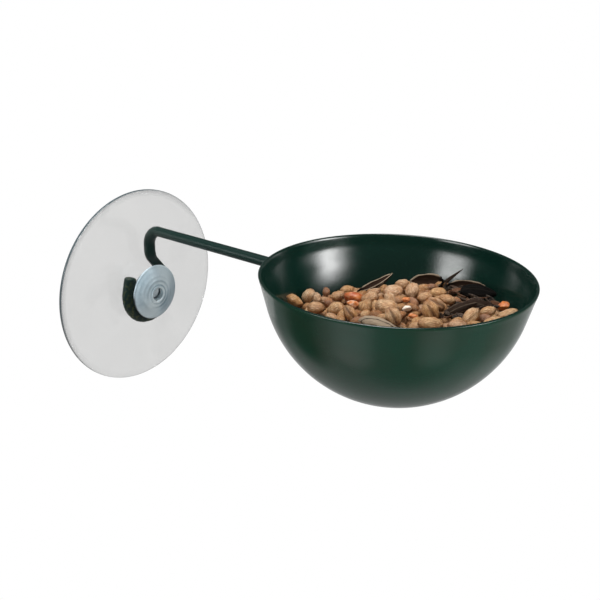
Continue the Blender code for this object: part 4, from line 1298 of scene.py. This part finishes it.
class FEEDER_OT_settled_seed(bpy.types.Operator):
    """Fill the bowl with settled grains and flakes of chaff"""

    bl_idname = "feeder.settled_seed"
    bl_label = "Settled Seed"

    def execute(self, context):
        seeds = looks("seeds")
        self.add_core(seeds)
        loose = self.gather("loose_guide", ("wheat_grains", "maize_pieces", "sunflower_hulls",
                                            "sunflower_seed"))
        husks = self.gather("husk_guide", DARK_HUSKS)
        grain, flake = self.grain(), self.flake()
        common = {"Shape": grain, "Spacing": seeds.spacing, "Seed": seeds.seed, "Loose": loose,
                  "Clearance": 0.0, "Reach": NO_LIMIT, "Wall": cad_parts["bowl"], "Wall Clearance": 0.0,
                  "Husks": husks, "Husks From": 0.0, "Husks To": NO_LIMIT,
                  "Material": bpy.data.materials["wheat_skin"]}
        side = {**common, "Lift": -seeds.grain_depth, "Slope From": -2.0, "Slope To": -0.47,
                "Turn": (1.2, 0.08, math.pi)}
        top = {**common, "Lift": -seeds.top_depth, "Slope From": 0.5, "Slope To": 2.0,
               "Wall Clearance": seeds.wall_gap, "Turn": (1.2, 0.25, math.pi)}
        upper = {**top, "Spacing": seeds.upper_spacing, "Seed": seeds.seed + 2, "Lift": seeds.upper_lift,
                 "Clearance": seeds.clearance, "Reach": seeds.reach, "Wall Clearance": seeds.upper_gap,
                 "Husks From": seeds.chaff_reach, "Turn": (1.4, 0.45, math.pi)}
        chaff = {**upper, "Shape": flake, "Spacing": seeds.chaff_spacing, "Lift": seeds.chaff_lift,
                 "Clearance": seeds.chaff_clearance, "Reach": NO_LIMIT, "Husks From": 0.0,
                 "Husks To": seeds.chaff_reach, "Material": husk_chaff()}
        for name, slot, values in (("side_grains", "wheat", side), ("top_grains", "wheat", top),
                                   ("upper_grains", "wheat", upper), ("chaff", "sunflower_shell", chaff)):
            seat_piece(scatter(name, bed_surface(name), values), "seed_mix")
        for guide in (loose, husks, grain, flake):
            bpy.data.objects.remove(guide)
        return {"FINISHED"}

    def add_core(self, seeds):
        """Dark dust that fills the middle between the grains, darkened as painted shade of the gaps."""
        core = bed_surface("settled_core")
        low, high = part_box("seed_bed")
        middle = (low + high) / 2
        shrink = Vector((1 - 2 * seeds.core_depth / (high.y - low.y),) * 2
                        + (1 - 2 * seeds.core_depth / (high.z - low.z),))
        for vertex in core.vertices:
            vertex.co = middle + (vertex.co - middle) * shrink
        core.materials.append(settled_dust())
        core.shade_smooth()
        seat_piece(add_object("settled_core", core), "seed_mix", ["seed_bed"])

    def gather(self, name, pieces):
        """One mesh of several pieces or solids, to keep the settled seed clear of them or near them."""
        shape = bmesh.new()
        for piece in pieces:
            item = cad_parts.get(piece) or bpy.data.objects[piece]
            shape.from_mesh(item.data)
        mesh = bpy.data.meshes.new(name)
        shape.to_mesh(mesh)
        shape.free()
        return add_object(name, mesh)

    def grain(self):
        """A plain grain to copy, its crease underneath."""
        unit, faces = ball(8, 7)
        shape, groove = wheat_shape(unit)
        shape = wrinkled(shape * np.array((1.0, -1.0, -1.0)), 8)
        points = shape * np.array((6.0, 3.9, 3.6)) * MM / 2
        values = {"crease": groove, "grain": shape, "along": unit[:, 0]}
        return add_object("grain", plain_mesh("grain", points, faces, values))

    def flake(self):
        """A thin curved flake of husk to copy."""
        unit, faces = ball(6, 8)
        x, y, z = unit.T
        curl = 0.6 * x * x + 0.5 * y * y
        points = np.stack([x * 2.6, y * 0.9 * (1 - 0.4 * x * x), z * 0.2 + curl], 1) * MM
        values = {"grain": unit, "along": unit[:, 0]}
        return add_object("flake", plain_mesh("flake", points, faces, values))


def add_lamp(name, place, target, size, watts):
    """A soft area lamp that points at a target."""
    data = bpy.data.lights.new(name, "AREA")
    data.shape = "RECTANGLE"
    data.size, data.size_y = size
    data.energy = watts
    lamp = add_object(name, data)
    lamp.location = place
    lamp.rotation_euler = (Vector(target) - Vector(place)).to_track_quat("-Z", "Y").to_euler()
    lamp.visible_camera = False
    return lamp


def towards(sky, direction, way, low, high):
    """How far a direction lies towards one way, from 0 to 1."""
    return sky.remap(sky.vector("DOT_PRODUCT", direction, way, "Value"), low, high)


def softbox(sky, direction, azimuth, height, wide, high, edge):
    """Soft-edged patch round an azimuth and a height in degrees, from 0 to 1; a high edge is crisper."""
    x, y, z = sky.split(direction)
    far = 0.0
    for angle, middle, width, crisp in ((sky.calc("ARCTAN2", y, x), azimuth, wide, edge),
                                        (sky.calc("ARCSINE", z), height, high, 2.0)):
        off = sky.calc("DIVIDE", sky.calc("SUBTRACT", angle, math.radians(middle)), math.radians(width))
        far = sky.plus(far, sky.calc("POWER", sky.calc("ABSOLUTE", off), crisp))
    return sky.calc("POWER", math.exp(-0.5), far)


class FEEDER_OT_stage(bpy.types.Operator):
    """Set the pale floor, the soft lamps, the white background and the camera"""

    bl_idname = "feeder.stage"
    bl_label = "Stage"

    def execute(self, context):
        stage = looks("stage")
        context.scene.view_settings.view_transform = "Standard"
        self.add_floor(stage)
        self.add_world(stage)
        for side, azimuth, height, size in SIDE_LAMPS:
            a, e = math.radians(azimuth), math.radians(height)
            away = Vector((math.cos(a) * math.cos(e), math.sin(a) * math.cos(e), math.sin(e)))
            lamp = add_lamp("lamp " + side, LAMP_AIM + away * LAMP_DISTANCE, LAMP_AIM, size,
                            getattr(stage, side + "_power"))
            lamp.visible_glossy = False
        add_lamp("lamp top", (0.05, -0.15, 1.1), (0.09, 0.0, 0.0), (0.6, 0.6), stage.top_power)
        self.add_camera(context.scene)
        return {"FINISHED"}

    def add_floor(self, stage):
        """Round pale floor that fades out."""
        points, faces = lathe([(stage.floor_radius * i / 8, 0.0) for i in range(9)], FLOOR_STEPS)
        centre = (stage.floor_centre, 0.0, -stage.floor_depth)
        mesh = plain_mesh("floor", points + np.array(centre), faces)
        floor = add_object("floor", mesh)
        floor.visible_glossy = False
        pale = Finish("pale_floor", Roughness=0.9, Base_Color=(*stage.floor, 1.0))
        away = pale.vector("DISTANCE", pale.place(), centre, "Value")
        fade = pale.remap(away, stage.floor_radius * 0.35, stage.floor_radius * 0.98)
        clear = pale.add("ShaderNodeBsdfTransparent")
        mix = pale.add("ShaderNodeMixShader", {0: fade, 1: pale.shader.outputs[0], 2: clear.outputs[0]})
        pale.feed(pale.tree.nodes["Material Output"].inputs["Surface"], mix.outputs[0])
        mesh.materials.append(pale.material)

    def add_world(self, stage):
        """White background and even light; the gloss shows a room with lamps instead."""
        world = bpy.data.worlds.new("studio")
        world.use_nodes = True
        bpy.context.scene.world = world
        sky = NodeTree(world.node_tree)
        ray = sky.add("ShaderNodeLightPath").outputs
        direction = sky.add("ShaderNodeTexCoord").outputs["Generated"]
        rise = sky.split(direction)[2]
        table = sky.remap(rise, -0.35, -0.80, 0.09, 0.42)
        wall = towards(sky, direction, (-0.53, 0.848, 0.0), 0.40, 0.85)
        wall = sky.times(wall, sky.remap(rise, -0.40, -0.05, 1.0, 0.15))
        lit = sky.calc("MAXIMUM", table, sky.times(wall, 0.62))
        for *patch, strength in DARK_FLAGS:
            taken = sky.times(towards(sky, direction, *patch), strength)
            lit = sky.times(lit, sky.calc("SUBTRACT", 1.0, taken))
        for shape, patches in ((softbox, SOFTBOXES), (towards, PALE_PATCHES)):
            for *patch, strength in patches:
                lit = sky.plus(lit, sky.times(shape(sky, direction, *patch), strength))
        level = sky.between(ray["Is Glossy Ray"], stage.ambient, lit)
        shown = sky.calc("MAXIMUM", ray["Is Camera Ray"], ray["Is Transmission Ray"])
        background = sky.tree.nodes["Background"].inputs
        sky.feed(background["Color"], (1.0, 1.0, 1.0, 1.0))
        sky.feed(background["Strength"], sky.between(shown, level, 1.0))

    def add_camera(self, scene):
        """Camera in front of the feeder, off to the bowl's side and a little above it."""
        azimuth, height, roll = (math.radians(a) for a in CAMERA_TURNS)
        back = Vector((math.sin(azimuth) * math.cos(height), -math.cos(azimuth) * math.cos(height),
                       math.sin(height)))
        right = Vector((math.cos(azimuth), math.sin(azimuth), 0.0))
        up = back.cross(right)
        side = right * math.cos(roll) + up * math.sin(roll)
        top = up * math.cos(roll) - right * math.sin(roll)
        data = bpy.data.cameras.new("camera")
        data.sensor_width = 36.0
        data.lens = CAMERA_LENS
        data.clip_start = 0.01
        matrix = Matrix((side, top, back)).transposed().to_4x4()
        matrix.translation = CAMERA_PLACE
        camera = add_object("camera", data)
        camera.matrix_world = matrix
        scene.camera = camera


class FEEDER_PT_pieces(bpy.types.Panel):
    """Sidebar panel with the feeder's settings and one button for each piece"""

    bl_label = "Window Bird Feeder"
    bl_idname = "FEEDER_PT_pieces"
    bl_space_type = "VIEW_3D"
    bl_region_type = "UI"
    bl_category = "Feeder"

    def draw(self, context):
        """Show a box for each group of settings, with the buttons that use it."""
        for name, operators in PANEL:
            box = self.layout.box()
            settings = looks(name)
            for key in settings.bl_rna.properties.keys():
                if key not in ("rna_type", "name"):
                    box.prop(settings, key)
            for operator in operators:
                box.operator(operator.bl_idname)


PANEL = (
    ("cup", (FEEDER_OT_suction_cup,)),
    ("wire", (FEEDER_OT_wire_arm, FEEDER_OT_weld)),
    ("bowl", (FEEDER_OT_bowl,)),
    ("seeds", (FEEDER_OT_wheat, FEEDER_OT_maize, FEEDER_OT_sunflower, FEEDER_OT_settled_seed)),
    ("stage", (FEEDER_OT_stage,)),
)
GROUPS = {"cup": CupLooks, "wire": WireLooks, "bowl": BowlLooks, "seeds": SeedLooks, "stage": StageLooks}
OPERATORS = [operator for _, operators in PANEL for operator in operators]
CLASSES = (*GROUPS.values(), *OPERATORS, FEEDER_PT_pieces)


def register():
    """Register the classes and hang the settings on the scene."""
    for item in CLASSES:
        bpy.utils.register_class(item)
    for name, group in GROUPS.items():
        setattr(bpy.types.Scene, "feeder_" + name, PointerProperty(type=group))


def unregister():
    """Take the settings off the scene and unregister the classes."""
    for name in GROUPS:
        delattr(bpy.types.Scene, "feeder_" + name)
    for item in reversed(CLASSES):
        bpy.utils.unregister_class(item)


def main():
    """Build every piece and the stage."""
    register()
    bpy.ops.feeder.suction_cup()
    bpy.ops.feeder.wire_arm()
    bpy.ops.feeder.bowl()
    bpy.ops.feeder.weld()
    bpy.ops.feeder.wheat()
    bpy.ops.feeder.maize()
    bpy.ops.feeder.sunflower()
    bpy.ops.feeder.settled_seed()
    bpy.ops.feeder.stage()


if __name__ == "__main__":
    main()
